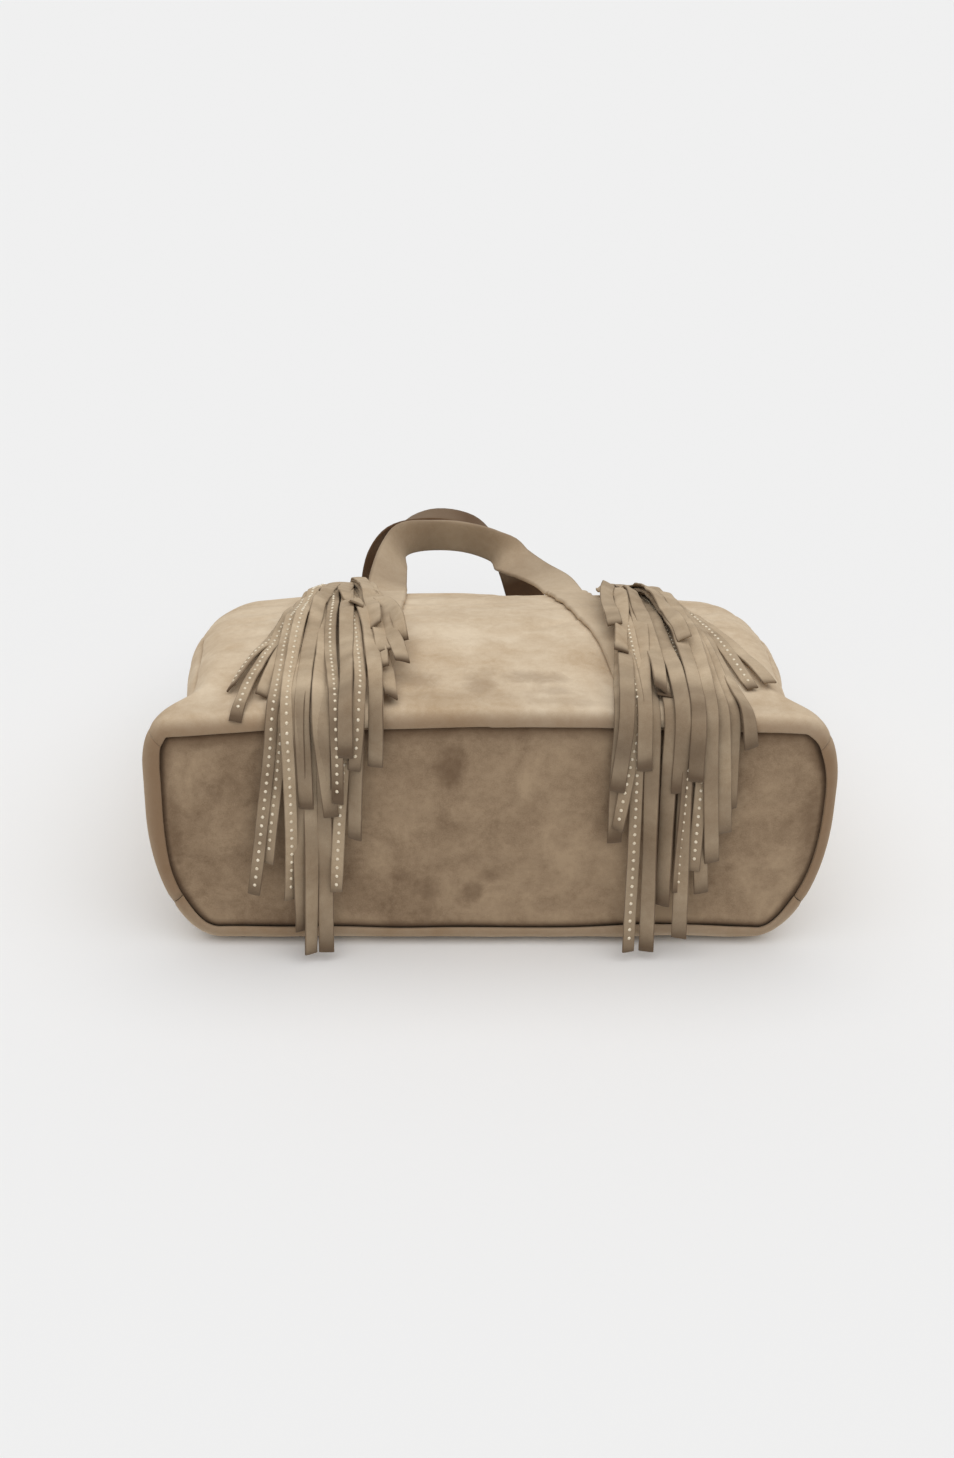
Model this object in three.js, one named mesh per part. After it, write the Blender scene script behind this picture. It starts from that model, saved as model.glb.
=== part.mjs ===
import * as THREE from 'three';

// A soft suede bag lying on its back panel, in millimetres.
// X runs across the bag, Y from the base towards the mouth, Z from the back panel up to the front panel.

// Body sizes
const BASE_WIDTH = 404; // across the rolled rim of the base
const WAIST_WIDTH = 368; // just behind the base corners
const BODY_WIDTH = 388; // at the widest place of the body
const MOUTH_WIDTH = 374;
const BASE_DEPTH = 157; // back to front at the base
const BELLY_DEPTH = 160; // back to front at the fullest place
const MOUTH_DEPTH = 96; // height of the front hem above the underside
const MOUTH_LIFT = 26; // how far the back panel curls up at the mouth
const BAG_LENGTH = 300; // base rim to mouth
const EAR_LENGTH = 48; // length over which the base corners draw in
const BELLY_AT = 80; // distance of the fullest place from the base
const BODY_AT = 200; // distance of the widest place from the base
const CROWN = 6; // rise of the front panel in the middle
const RIM_RADIUS = 8; // roll of the walls round the base
const RIM_TURN = 150; // degrees that the roll turns through
const BOTTOM_CORNER = [42, 92]; // corner at the back panel, across and up
const TOP_CORNER_BASE = [17, 34]; // corner at the front panel, near the base
const TOP_CORNER_MOUTH = [44, 54]; // the same, near the mouth

// Sheet sizes
const SUEDE = 2;
const SEAM = 0.005; // half of a seam's gap, in outline steps
const BASE_INSET = RIM_RADIUS * 1.925;
const BOARD = 2.5;
const LINING = 1;
const GAP = 0.4;
const LINING_GAP = 0.8; // the lining hangs a little clear of the walls
const HEM = 12; // lining stops this far below the mouth

// Strap and fringe sizes
const STRAP_WIDTH = 28;
const STRAP = 3;
const LEFT_STRAP_BASE = 76; // strap centre from the middle, at the base
const RIGHT_STRAP_BASE = 88;
const STRAP_SPREAD_MOUTH = 62; // the same, where the handle leaves the panel
const STRAP_FREE = 40; // the handles leave the panels about this far from the mouth
const STRAND_WIDTH = 8;
const STRAND = 1.3;
const STRAND_GAP = 0.3; // between strands that lie on or beside each other
const KNOT_FROM_MOUTH = 52; // distance of the strand tops from the mouth
const KNOT_LENGTH = 26; // length over which the strands lie side by side
const KNOT_PITCH = 9.4; // sideways step between strands at the knot
const LEFT_KNOT = -93;
const RIGHT_KNOT = 101;
const HANG_BOW = 12; // how far a full length strand stands off the base at its end
const KEEPER_WIDTH = 12;
const KEEPER = 2;
const KEEPER_FOOT = 9;

// Rows: along the panel, round the rim, and down in front of the base
const PANEL_STEP = 25;
const HANG_STEP = 30;
const FINE = 5; // spacing at which the strands are laid over each other
const ROLL_STEPS = 3;
const SAG = 2; // how far a strand dips between two supports
const REST = STRAP + 0.3; // the bag lies on its two back straps

const suede = new THREE.MeshStandardMaterial({ color: 0xcbb596, roughness: 0.95 });
const suedeBase = new THREE.MeshStandardMaterial({ color: 0x9c8467, roughness: 0.95 });
const suedeStrap = new THREE.MeshStandardMaterial({ color: 0xb89f80, roughness: 0.95 });
const suedeFringe = new THREE.MeshStandardMaterial({ color: 0xa48c6c, roughness: 0.95 });
const cloth = new THREE.MeshStandardMaterial({ color: 0x6e5f4d, roughness: 0.9 });
const board = new THREE.MeshStandardMaterial({ color: 0xa79a86, roughness: 0.9 });

const { lerp, smoothstep, degToRad } = THREE.MathUtils;
const bag = new THREE.Group();

function addMesh(name, geometry, material) {
  const mesh = new THREE.Mesh(geometry, material);
  mesh.name = name;
  bag.add(mesh);
}

// Shape of the body at a distance y from the base
function halfWidth(y) {
  const waist = WAIST_WIDTH / 2;
  const grown = lerp(waist, BODY_WIDTH / 2, smoothstep(y, EAR_LENGTH, BODY_AT));
  const drawn = ((MOUTH_WIDTH - BODY_WIDTH) / 2) * smoothstep(y, BODY_AT, BAG_LENGTH);
  const ear = (BASE_WIDTH / 2 - waist) * (1 - smoothstep(y, RIM_RADIUS, EAR_LENGTH));
  return grown + drawn + ear;
}

function topHeight(y) {
  if (y < BELLY_AT) {
    return REST + lerp(BASE_DEPTH, BELLY_DEPTH, Math.sin((Math.PI / 2) * (y / BELLY_AT)));
  }
  const fall = 1 - Math.cos((Math.PI / 2) * ((y - BELLY_AT) / (BAG_LENGTH - BELLY_AT)));
  return REST + lerp(BELLY_DEPTH, MOUTH_DEPTH, fall);
}

function bottomHeight(y) {
  return REST + MOUTH_LIFT * smoothstep(y, BAG_LENGTH * 0.63, BAG_LENGTH);
}

function crownAt(y) {
  return CROWN - smoothstep(y, 100, 240);
}

// Outline of the body, inset by d: u runs 0 to 5 from the middle of the back panel round the
// right side to the middle of the front panel, and 0 to -5 round the left side
function outline(u, y, d) {
  const v = Math.abs(u);
  const a = halfWidth(y) - d;
  const low = bottomHeight(y) + d;
  const crown = crownAt(y);
  const high = topHeight(y) - crown - d;
  const tall = high - low + 2 * d;
  const far = smoothstep(y, 0, 200);
  const tx = Math.max(lerp(TOP_CORNER_BASE[0], TOP_CORNER_MOUTH[0], far) - d, 3);
  const tz = Math.max(Math.min(lerp(TOP_CORNER_BASE[1], TOP_CORNER_MOUTH[1], far), 0.4 * tall) - d, 3);
  const bx = Math.max(BOTTOM_CORNER[0] - d, 3);
  const bz = Math.max(Math.min(BOTTOM_CORNER[1], 0.58 * tall) - d, 3);
  let x;
  let z;
  if (v <= 1) {
    x = v * (a - bx);
    z = low;
  } else if (v <= 2) {
    const turn = ((v - 1) * Math.PI) / 2;
    x = a - bx + bx * Math.sin(turn);
    z = low + bz * (1 - Math.cos(turn));
  } else if (v <= 3) {
    x = a;
    z = lerp(low + bz, high - tz, v - 2);
  } else if (v <= 4) {
    const turn = ((v - 3) * Math.PI) / 2;
    x = a - tx + tx * Math.cos(turn);
    z = high - tz + tz * Math.sin(turn);
  } else {
    x = (5 - v) * (a - tx);
    z = high + crown * (1 - (5 - v) ** 2);
  }
  return [Math.sign(u) * x, z];
}

// Closed sheet between an outer and an inner grid of points
function thickSheet(rows, closed = false) {
  const cols = rows[0].length;
  const positions = [];
  const index = [];
  for (const row of rows) {
    for (const { outer, inner } of row) positions.push(...outer, ...inner);
  }
  const at = (j, i, side) => 2 * (j * cols + (i % cols)) + side;
  const quad = (a, b, c, d) => index.push(a, b, c, a, c, d);
  const spans = closed ? cols : cols - 1;
  const last = rows.length - 1;
  for (let j = 0; j < last; j += 1) {
    for (let i = 0; i < spans; i += 1) {
      quad(at(j, i, 0), at(j, i + 1, 0), at(j + 1, i + 1, 0), at(j + 1, i, 0));
      quad(at(j, i, 1), at(j + 1, i, 1), at(j + 1, i + 1, 1), at(j, i + 1, 1));
    }
    if (!closed) {
      quad(at(j, 0, 1), at(j, 0, 0), at(j + 1, 0, 0), at(j + 1, 0, 1));
      quad(at(j, spans, 0), at(j, spans, 1), at(j + 1, spans, 1), at(j + 1, spans, 0));
    }
  }
  for (let i = 0; i < spans; i += 1) {
    quad(at(0, i, 1), at(0, i + 1, 1), at(0, i + 1, 0), at(0, i, 0));
    quad(at(last, i, 0), at(last, i + 1, 0), at(last, i + 1, 1), at(last, i, 1));
  }
  if (signedVolume(positions, index) < 0) index.reverse();
  const geometry = new THREE.BufferGeometry();
  geometry.setAttribute('position', new THREE.Float32BufferAttribute(positions, 3));
  geometry.setIndex(index);
  geometry.computeVertexNormals();
  return geometry;
}

function signedVolume(positions, index) {
  const corner = (k) => new THREE.Vector3(...positions.slice(3 * k, 3 * k + 3));
  let sum = 0;
  for (let k = 0; k < index.length; k += 3) {
    const [a, b, c] = [corner(index[k]), corner(index[k + 1]), corner(index[k + 2])];
    sum += a.dot(b.cross(c));
  }
  return sum;
}

// Distances of the panel rows from the base, ending at the mouth
const panelRows = [];
for (let y = RIM_RADIUS; y < BAG_LENGTH - PANEL_STEP / 2; y += PANEL_STEP) panelRows.push(y);
panelRows.splice(1, 0, ...[0.25, 0.5, 0.75].map((part) => RIM_RADIUS + part * PANEL_STEP));
panelRows.push(BAG_LENGTH);

// Walls: each rolls in round the base, then runs to the mouth
function wallRow(us, y, outerInset, innerInset, outerY, innerY) {
  return us.map((u) => {
    const [ox, oz] = outline(u, y, outerInset);
    const [ix, iz] = outline(u, y, innerInset);
    return { outer: [ox, outerY, oz], inner: [ix, innerY, iz] };
  });
}

function wallRows(us) {
  const rows = [];
  for (let turn = RIM_TURN; turn > 0; turn -= 30) {
    const a = degToRad(turn);
    const thin = RIM_RADIUS - SUEDE;
    const outerInset = RIM_RADIUS * (1 - Math.cos(a));
    const innerInset = RIM_RADIUS - thin * Math.cos(a);
    const outerY = RIM_RADIUS * (1 - Math.sin(a));
    const innerY = RIM_RADIUS - thin * Math.sin(a);
    rows.push(wallRow(us, RIM_RADIUS, outerInset, innerInset, outerY, innerY));
  }
  for (const y of panelRows) rows.push(wallRow(us, y, 0, SUEDE, y, y));
  return rows;
}

const frontEdge = 3.5 + SEAM;
const backEdge = 1.5 - SEAM;
const topSteps = [4, 4.2, 4.4, 4.6, 4.8];
const cornerSteps = [frontEdge, 3.67, 3.83];
const frontRight = [...cornerSteps, ...topSteps, 5];
const frontLeft = [...cornerSteps, ...topSteps].map((u) => -u).reverse();
const frontColumns = [...frontRight, ...frontLeft];
const backRight = [0.5, 1, 1.17, 1.33, backEdge];
const backColumns = [...backRight.map((u) => -u).reverse(), 0, ...backRight];
const sideColumns = [1.5 + SEAM, 1.67, 1.83, 2, 2.5, 3, 3.25, 3.5 - SEAM];
addMesh('front_panel', thickSheet(wallRows(frontColumns)), suede);
addMesh('back_panel', thickSheet(wallRows(backColumns)), suede);
addMesh('right_gusset', thickSheet(wallRows(sideColumns)), suede);
addMesh('left_gusset', thickSheet(wallRows(sideColumns.map((u) => -u))), suede);

// Base: an outer suede panel, a stiffening board and the lining's floor, one behind the other
const ringRight = [0, 1, 1.17, 1.33, 1.5, 1.67, 1.83, 2, 2.5, 3, 3.25, 3.5, 3.67, 3.83, 4, 4.33, 4.67];
const ringLeft = ringRight.slice(1).map((u) => -u).reverse();
const ring = [...ringRight, 5, ...ringLeft];

function plate(y, thickness, inset, shapeAt = RIM_RADIUS) {
  const points = ring.map((u) => new THREE.Vector2(...outline(u, shapeAt, inset)));
  const shape = new THREE.Shape(points);
  const geometry = new THREE.ExtrudeGeometry(shape, { depth: thickness, bevelEnabled: false });
  geometry.rotateX(Math.PI / 2);
  geometry.translate(0, y + thickness, 0);
  return geometry;
}

const basePanelAt = RIM_RADIUS * 0.58;
const boardAt = basePanelAt + SUEDE + GAP;
const liningAt = boardAt + BOARD + GAP;
addMesh('base_panel', plate(basePanelAt, SUEDE, BASE_INSET), suedeBase);
addMesh('base_board', plate(boardAt, BOARD, BASE_INSET), board);
addMesh('lining_base', plate(liningAt, LINING, SUEDE + 3 * GAP, liningAt + LINING), cloth);

// Lining walls: one sleeve inside the four walls
const sleeveFrom = liningAt + LINING + GAP;
const sleeveTo = BAG_LENGTH - HEM;
const sleeveRows = [sleeveFrom, ...panelRows.filter((y) => y > sleeveFrom && y < sleeveTo - FINE), sleeveTo];
const sleeveInset = SUEDE + LINING_GAP;
const sleeve = sleeveRows.map((y) => wallRow(ring, y, sleeveInset, sleeveInset + LINING, y, y));
addMesh('lining_walls', thickSheet(sleeve, true), cloth);

// Rows on which straps and strands lie. s is the distance along the front panel, from the
// foremost line of the rim: above 0 on the panel, below 0 hanging in front of the base
const quarter = (RIM_RADIUS * Math.PI) / 2;

function panelTop(x, y) {
  const far = smoothstep(y, 0, 200);
  const flat = halfWidth(y) - lerp(TOP_CORNER_BASE[0], TOP_CORNER_MOUTH[0], far);
  return topHeight(y) - crownAt(y) * Math.min(Math.abs(x) / flat, 1) ** 2;
}

const hangLength = panelTop(0, RIM_RADIUS) - CROWN - RIM_RADIUS;

function lay(x, s, lift) {
  if (s >= quarter) {
    const y = s - quarter + RIM_RADIUS;
    const slope = (panelTop(x, y + 1) - panelTop(x, y - 1)) / 2;
    const upright = 1 / Math.hypot(1, slope);
    return [x, y - slope * upright * lift, panelTop(x, y) + upright * lift];
  }
  const centre = panelTop(x, RIM_RADIUS) - RIM_RADIUS;
  const radius = RIM_RADIUS + lift;
  if (s >= 0) {
    const turn = (1 - s / quarter) * (Math.PI / 2);
    return [x, RIM_RADIUS - radius * Math.sin(turn), centre + radius * Math.cos(turn)];
  }
  return [x, -lift - HANG_BOW * (s / hangLength) ** 2, centre + s];
}

const finePerPanel = Math.round(PANEL_STEP / FINE);
const finePerHang = Math.round(HANG_STEP / FINE);
const laidPanels = Math.floor((BAG_LENGTH - STRAP_FREE - RIM_RADIUS) / (finePerPanel * FINE));
const rowsDown = [];
const stations = [];
for (let k = laidPanels * finePerPanel; k > 0; k -= 1) {
  if (k % finePerPanel === 0) stations.push(rowsDown.length);
  rowsDown.push(k * FINE + quarter);
}
for (let k = ROLL_STEPS; k >= 0; k -= 1) {
  stations.push(rowsDown.length);
  rowsDown.push((quarter * k) / ROLL_STEPS);
}
for (let k = 1; k * FINE < hangLength; k += 1) {
  if (k % finePerHang === 0) stations.push(rowsDown.length);
  rowsDown.push(-k * FINE);
}

function nearestRow(s) {
  const away = rowsDown.map((row) => Math.abs(row - s));
  return away.indexOf(Math.min(...away));
}

// Sideways place on a route of [x, s] points, eased over a short length
function placeOn(route, s) {
  const straight = (t) => {
    const next = Math.max(route.findIndex((p) => p[1] <= t), 1);
    const k = route[route.length - 1][1] > t ? route.length - 1 : next;
    const [x0, s0] = route[k - 1];
    const [x1, s1] = route[k];
    return lerp(x0, x1, (s0 - t) / (s0 - s1));
  };
  const ease = [-16, -8, 0, 8, 16];
  return ease.reduce((sum, e) => sum + straight(s + e), 0) / ease.length;
}

// Each ribbon rests on the panel and on every ribbon placed before it
const laid = [];

// Lifts the two ends of a straight span until it clears what lies under it
function raiseSpan(lift, need, knots, i) {
  for (let k = knots[i]; k <= knots[i + 1]; k += 1) {
    const part = (k - knots[i]) / (knots[i + 1] - knots[i]);
    const short = need[k] - lerp(lift[i], lift[i + 1], part);
    if (short > 0) {
      const share = short / (part ** 2 + (1 - part) ** 2);
      lift[i] += share * (1 - part);
      lift[i + 1] += share * part;
    }
  }
}

function settle(route, width, thickness, startRow, endRow) {
  const ribbon = { startRow, endRow, x: [], half: [], top: [] };
  const need = [];
  for (let k = startRow; k <= endRow; k += 1) {
    const s = rowsDown[k];
    const lean = (placeOn(route, s + 2) - placeOn(route, s - 2)) / 4;
    ribbon.x[k] = placeOn(route, s);
    ribbon.half[k] = (width / 2) * Math.hypot(1, lean);
    need[k] = GAP;
    for (const other of laid) {
      const row = Math.min(Math.max(k, other.startRow), other.endRow);
      const near = Math.abs(row - k) <= 1;
      const reach = ribbon.half[k] + other.half[row] + STRAND_GAP;
      if (near && Math.abs(ribbon.x[k] - other.x[row]) < reach) {
        need[k] = Math.max(need[k], other.top[row] + STRAND_GAP);
      }
    }
  }
  const knots = [startRow, ...stations.filter((k) => k > startRow && k < endRow), endRow];
  const lift = knots.map((k) => need[k]);
  for (let pass = 0; pass < 60; pass += 1) {
    for (let i = 0; i < knots.length - 1; i += 1) raiseSpan(lift, need, knots, i);
    for (let i = 1; i < lift.length - 1; i += 1) {
      lift[i] = Math.max(lift[i], (lift[i - 1] + lift[i + 1]) / 2 - SAG);
    }
  }
  for (let i = 0; i < knots.length - 1; i += 1) {
    for (let k = knots[i]; k <= knots[i + 1]; k += 1) {
      const part = (k - knots[i]) / (knots[i + 1] - knots[i]);
      ribbon.top[k] = lerp(lift[i], lift[i + 1], part) + thickness;
    }
  }
  laid.push(ribbon);
  return knots.map((k, i) => {
    const edge = (side) => ({
      outer: lay(ribbon.x[k] + side * ribbon.half[k], rowsDown[k], lift[i] + thickness),
      inner: lay(ribbon.x[k] + side * ribbon.half[k], rowsDown[k], lift[i]),
    });
    return [edge(-1), edge(1)];
  });
}

// Straps: each is one ribbon, from the base up the panel, round a handle loop and back to the base.
// Points of a loop: centre of the strap, as its share of STRAP_SPREAD_MOUTH across, its distance
// beyond the mouth and its height above the hem; then the direction across the strap
const panelLeaves = RIM_RADIUS + laidPanels * finePerPanel * FINE;
function strapRoute(side, base) {
  const bow = (part) => side * lerp(STRAP_SPREAD_MOUTH, base, part);
  const panel = [[bow(0), panelLeaves], [bow(0.04), 200], [bow(0.3), 140], [bow(0.7), 100]];
  return [...panel, [bow(0.92), 50], [bow(1), 0]];
}

const frontLoop = [
  { at: [-0.98, -15, 20], across: [0.9, 0, -0.4] },
  { at: [-0.92, 12, 25], across: [0.65, 0.1, -0.75] },
  { at: [-0.81, 36, 28], across: [0.2, 0.2, -0.95] },
  { at: [-0.48, 47, 27], across: [0, 0.3, -0.95] },
  { at: [-0.08, 48, 25], across: [0, 0.3, -0.95] },
  { at: [0.28, 42, 20], across: [-0.1, 0.2, -0.95] },
  { at: [0.49, 30, 14], across: [-0.75, -0.5, -0.4] },
  { at: [0.69, 14, 13], across: [-0.9, -0.45, -0.15] },
  { at: [0.89, -9, 15], across: [-1, -0.3, -0.1] },
];
const backLoop = [
  { at: [-1.04, 25, 1], across: [1, 0, 0] },
  { at: [-1.08, 46, 18], across: [1, 0, 0] },
  { at: [-1.11, 58, 46], across: [1, 0.2, 0] },
  { at: [-1.06, 66, 72], across: [0.9, 0.5, -0.1] },
  { at: [-0.88, 72, 93], across: [0.5, 0.9, -0.2] },
  { at: [-0.46, 77, 101], across: [0.1, 1, -0.1] },
  { at: [0.03, 78, 95], across: [-0.1, 1, 0] },
  { at: [0.35, 74, 81], across: [-0.5, 0.8, 0] },
  { at: [0.55, 68, 63], across: [-1, 0.3, 0] },
  { at: [0.68, 60, 41], across: [-1, 0, 0] },
  { at: [0.82, 47, 18], across: [-1, 0, 0] },
  { at: [0.95, 25, 1], across: [-1, 0, 0] },
];

// Middle and across direction of a ribbon's row
function rowFrame(row) {
  const [left, right] = row.map(({ outer, inner }) => {
    return new THREE.Vector3(...outer).add(new THREE.Vector3(...inner)).multiplyScalar(0.5);
  });
  return { centre: left.clone().add(right).multiplyScalar(0.5), across: right.sub(left).normalize() };
}

// Rows of a free loop that leaves one laid part and joins the next
function loopRows(start, loop, hem, finish) {
  const first = rowFrame(start);
  const final = rowFrame(finish);
  const points = loop.map(({ at: [share, beyond, above] }) => {
    return new THREE.Vector3(share * STRAP_SPREAD_MOUTH, BAG_LENGTH + beyond, hem + above);
  });
  const acrosses = loop.map(({ across }) => new THREE.Vector3(...across).normalize());
  const centres = new THREE.CatmullRomCurve3([first.centre, ...points, final.centre]);
  const sides = new THREE.CatmullRomCurve3([first.across, ...acrosses, final.across]);
  const count = 2 * (loop.length + 1);
  const rows = [];
  for (let k = 1; k < count; k += 1) {
    const t = k / count;
    const centre = centres.getPoint(t);
    const along = centres.getTangent(t);
    const across = sides.getPoint(t).addScaledVector(along, -sides.getPoint(t).dot(along)).normalize();
    const face = across.clone().cross(along).normalize();
    const edge = (side) => {
      const middle = centre.clone().addScaledVector(across, (side * STRAP_WIDTH) / 2);
      return {
        outer: middle.clone().addScaledVector(face, STRAP / 2).toArray(),
        inner: middle.clone().addScaledVector(face, -STRAP / 2).toArray(),
      };
    };
    rows.push([edge(-1), edge(1)]);
  }
  return rows;
}

const swapEdges = (rows) => rows.map(([left, right]) => [right, left]);
const lastRoll = nearestRow(0);
const leftLaid = settle(strapRoute(-1, LEFT_STRAP_BASE), STRAP_WIDTH, STRAP, 0, lastRoll);
const rightLaid = settle(strapRoute(1, RIGHT_STRAP_BASE), STRAP_WIDTH, STRAP, 0, lastRoll);
const frontUp = leftLaid.reverse();
const frontDown = swapEdges(rightLaid);
const frontFree = loopRows(frontUp[frontUp.length - 1], frontLoop, topHeight(BAG_LENGTH), frontDown[0]);
addMesh('front_strap', thickSheet([...frontUp, ...frontFree, ...frontDown]), suedeStrap);

// Back strap: the same width, lying under the back panel
function underRow(x, y, turn) {
  const a = degToRad(turn);
  const edge = (side) => {
    const place = (lift) => {
      const radius = RIM_RADIUS + lift;
      const base = bottomHeight(RIM_RADIUS) + RIM_RADIUS;
      const across = x + (side * STRAP_WIDTH) / 2;
      const rolled = [across, RIM_RADIUS - radius * Math.sin(a), base - radius * Math.cos(a)];
      return turn > 0 ? rolled : [across, y, bottomHeight(y) - lift];
    };
    return { outer: place(REST), inner: place(REST - STRAP) };
  };
  return [edge(-1), edge(1)];
}

function underRows(side, base) {
  const rows = [];
  for (const turn of [90, 60, 30]) rows.push(underRow(side * base, 0, turn));
  for (const y of panelRows) {
    const spread = lerp(base, STRAP_SPREAD_MOUTH, smoothstep(y, 20, 200));
    rows.push(underRow(side * spread, y, 0));
  }
  return rows;
}

const backUp = underRows(-1, LEFT_STRAP_BASE);
const backDown = swapEdges(underRows(1, RIGHT_STRAP_BASE)).reverse();
const flipped = ({ outer, inner }) => ({ outer: inner, inner: outer });
const flipFaces = (rows) => rows.map((row) => row.map(flipped));
const backFree = loopRows(backUp[backUp.length - 1], backLoop, bottomHeight(BAG_LENGTH), backDown[0]);
addMesh('back_strap', thickSheet([...flipFaces(backUp), ...backFree, ...flipFaces(backDown)]), suedeStrap);

// Fringe: strands from the lowest to the topmost of each tassel. A strand starts in one of four
// places at the knot, crosses the rim at its own x, and ends at [x, s]. Short ones end on the panel
const leftFringe = [
  { place: 0, end: [-149, 32] },
  { place: 0, rim: -144, end: [-146, 4] },
  { place: 0, end: [-132, 23] },
  { place: 1, rim: -102.8, end: [-104, -150] },
  { place: 1, rim: -94.1, end: [-95, -145] },
  { place: 1, rim: -111.5, end: [-110, -130] },
  { place: 2, rim: -85.4, end: [-88, -105] },
  { place: 2, rim: -76.7, end: [-79, -70] },
  { place: 0, rim: -120.2, end: [-131, -85] },
  { place: 0, rim: -128.9, end: [-140, -105] },
  { place: 0, rim: -117, end: [-120, -110] },
  { place: 1, rim: -98.5, end: [-94, -55] },
  { place: 1, rim: -89.8, end: [-89, -45] },
  { place: 1, rim: -107.1, end: [-104, -50] },
  { place: 2, rim: -76.7, end: [-79, -25] },
  { place: 3, end: [-57, 13] },
  { place: 3, end: [-62, 37] },
  { place: 3, end: [-54, 42] },
  { place: 2, rim: -68, end: [-69, -25] },
  { place: 2, rim: -83, end: [-83, -15] },
  { place: 3, end: [-62, 60] },
  { place: 3, end: [-50, 77] },
  { place: 3, end: [-69, 87] },
  { place: 2, end: [-82, 114] },
];
const rightFringe = [
  { place: 3, end: [163, 42] },
  { place: 3, end: [153, 37] },
  { place: 3, rim: 146, end: [150, -10] },
  { place: 3, rim: 135.9, end: [138, -50] },
  { place: 2, rim: 118.5, end: [126, -105] },
  { place: 1, rim: 101.1, end: [100, -115] },
  { place: 0, rim: 75, end: [74, -75] },
  { place: 3, rim: 127.2, end: [135, -65] },
  { place: 0, rim: 83.7, end: [83, -150] },
  { place: 1, rim: 92.4, end: [93, -145] },
  { place: 2, rim: 109.8, end: [111, -135] },
  { place: 2, rim: 114, end: [114, -105] },
  { place: 2, rim: 122.8, end: [118, -90] },
  { place: 0, rim: 83.7, end: [75, -65] },
  { place: 0, rim: 75, end: [73, -40] },
  { place: 3, rim: 122.8, end: [130, -85] },
  { place: 1, end: [98, 13] },
  { place: 2, rim: 116, end: [117, -30] },
  { place: 1, rim: 107, end: [108, -40] },
  { place: 1, rim: 88, end: [90, -25] },
  { place: 1, end: [93, 13] },
  { place: 2, end: [112, 70] },
  { place: 0, end: [80, 54] },
  { place: 0, end: [75, 88] },
];

const knotS = BAG_LENGTH - KNOT_FROM_MOUTH - RIM_RADIUS + quarter;
const knotRow = nearestRow(knotS);

function addFringe(side, knot, strands) {
  strands.forEach(({ place, rim, end }, k) => {
    const x = knot + (place - 1.5) * KNOT_PITCH;
    const route = [[x, knotS], [x, knotS - KNOT_LENGTH]];
    if (rim !== undefined) route.push([rim, quarter]);
    route.push(end);
    const rows = settle(route, STRAND_WIDTH, STRAND, knotRow, nearestRow(end[1]));
    addMesh(`${side}_strand_${String(k + 1).padStart(2, '0')}`, thickSheet(rows), suedeFringe);
  });
}

// Keeper: a loop over the strand tops, sewn to the panel at its two feet
function addKeeper(side, fromIndex, onStrap) {
  const strands = laid.slice(fromIndex);
  const lowRow = nearestRow(knotS - KEEPER_WIDTH - FINE);
  const rows = [knotRow, knotRow + 1, lowRow - 1, lowRow];
  const left = Math.min(...strands.map((r) => Math.min(...rows.map((k) => r.x[k] - r.half[k])))) - 2 * GAP;
  const right = Math.max(...strands.map((r) => Math.max(...rows.map((k) => r.x[k] + r.half[k])))) + 2 * GAP;
  const high = Math.max(...strands.map((r) => Math.max(...rows.map((k) => r.top[k])))) + 3 * GAP;
  const strapTop = STRAP + 2 * GAP;
  const [low, lowRight] = onStrap === 'right' ? [GAP, strapTop] : [strapTop, GAP];
  const path = [
    [left - KEEPER_FOOT, low + KEEPER, left - KEEPER_FOOT, low],
    [left - KEEPER, low + KEEPER, left, low],
    [left - KEEPER, high - 1, left, high - 1],
    [left + 1, high + KEEPER, left + 2, high],
    [(left + right) / 2, high + KEEPER, (left + right) / 2, high],
    [right - 1, high + KEEPER, right - 2, high],
    [right + KEEPER, high - 1, right, high - 1],
    [right + KEEPER, lowRight + KEEPER, right, lowRight],
    [right + KEEPER_FOOT, lowRight + KEEPER, right + KEEPER_FOOT, lowRight],
  ];
  const top = rowsDown[knotRow + 1];
  const grid = path.map(([ox, ol, ix, il]) => {
    return [top, top - KEEPER_WIDTH].map((s) => ({ outer: lay(ox, s, ol), inner: lay(ix, s, il) }));
  });
  addMesh(`${side}_keeper`, thickSheet(grid), suedeFringe);
}

const beforeLeft = laid.length;
addFringe('left', LEFT_KNOT, leftFringe);
addKeeper('left', beforeLeft, 'right');
const beforeRight = laid.length;
addFringe('right', RIGHT_KNOT, rightFringe);
addKeeper('right', beforeRight, 'left');

// The frame: middle of the bag's own box, without the hanging strands, at the height of the underside
const box = new THREE.Box3();
for (const mesh of bag.children) {
  mesh.geometry.computeBoundingBox();
  if (!mesh.name.includes('strand')) box.union(mesh.geometry.boundingBox);
}
const middle = box.getCenter(new THREE.Vector3());
for (const mesh of bag.children) mesh.geometry.translate(-middle.x, -middle.y, -box.min.z);

export default bag;
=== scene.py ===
import math
import bmesh
import bpy
import numpy as np
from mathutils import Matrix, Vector, noise


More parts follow.
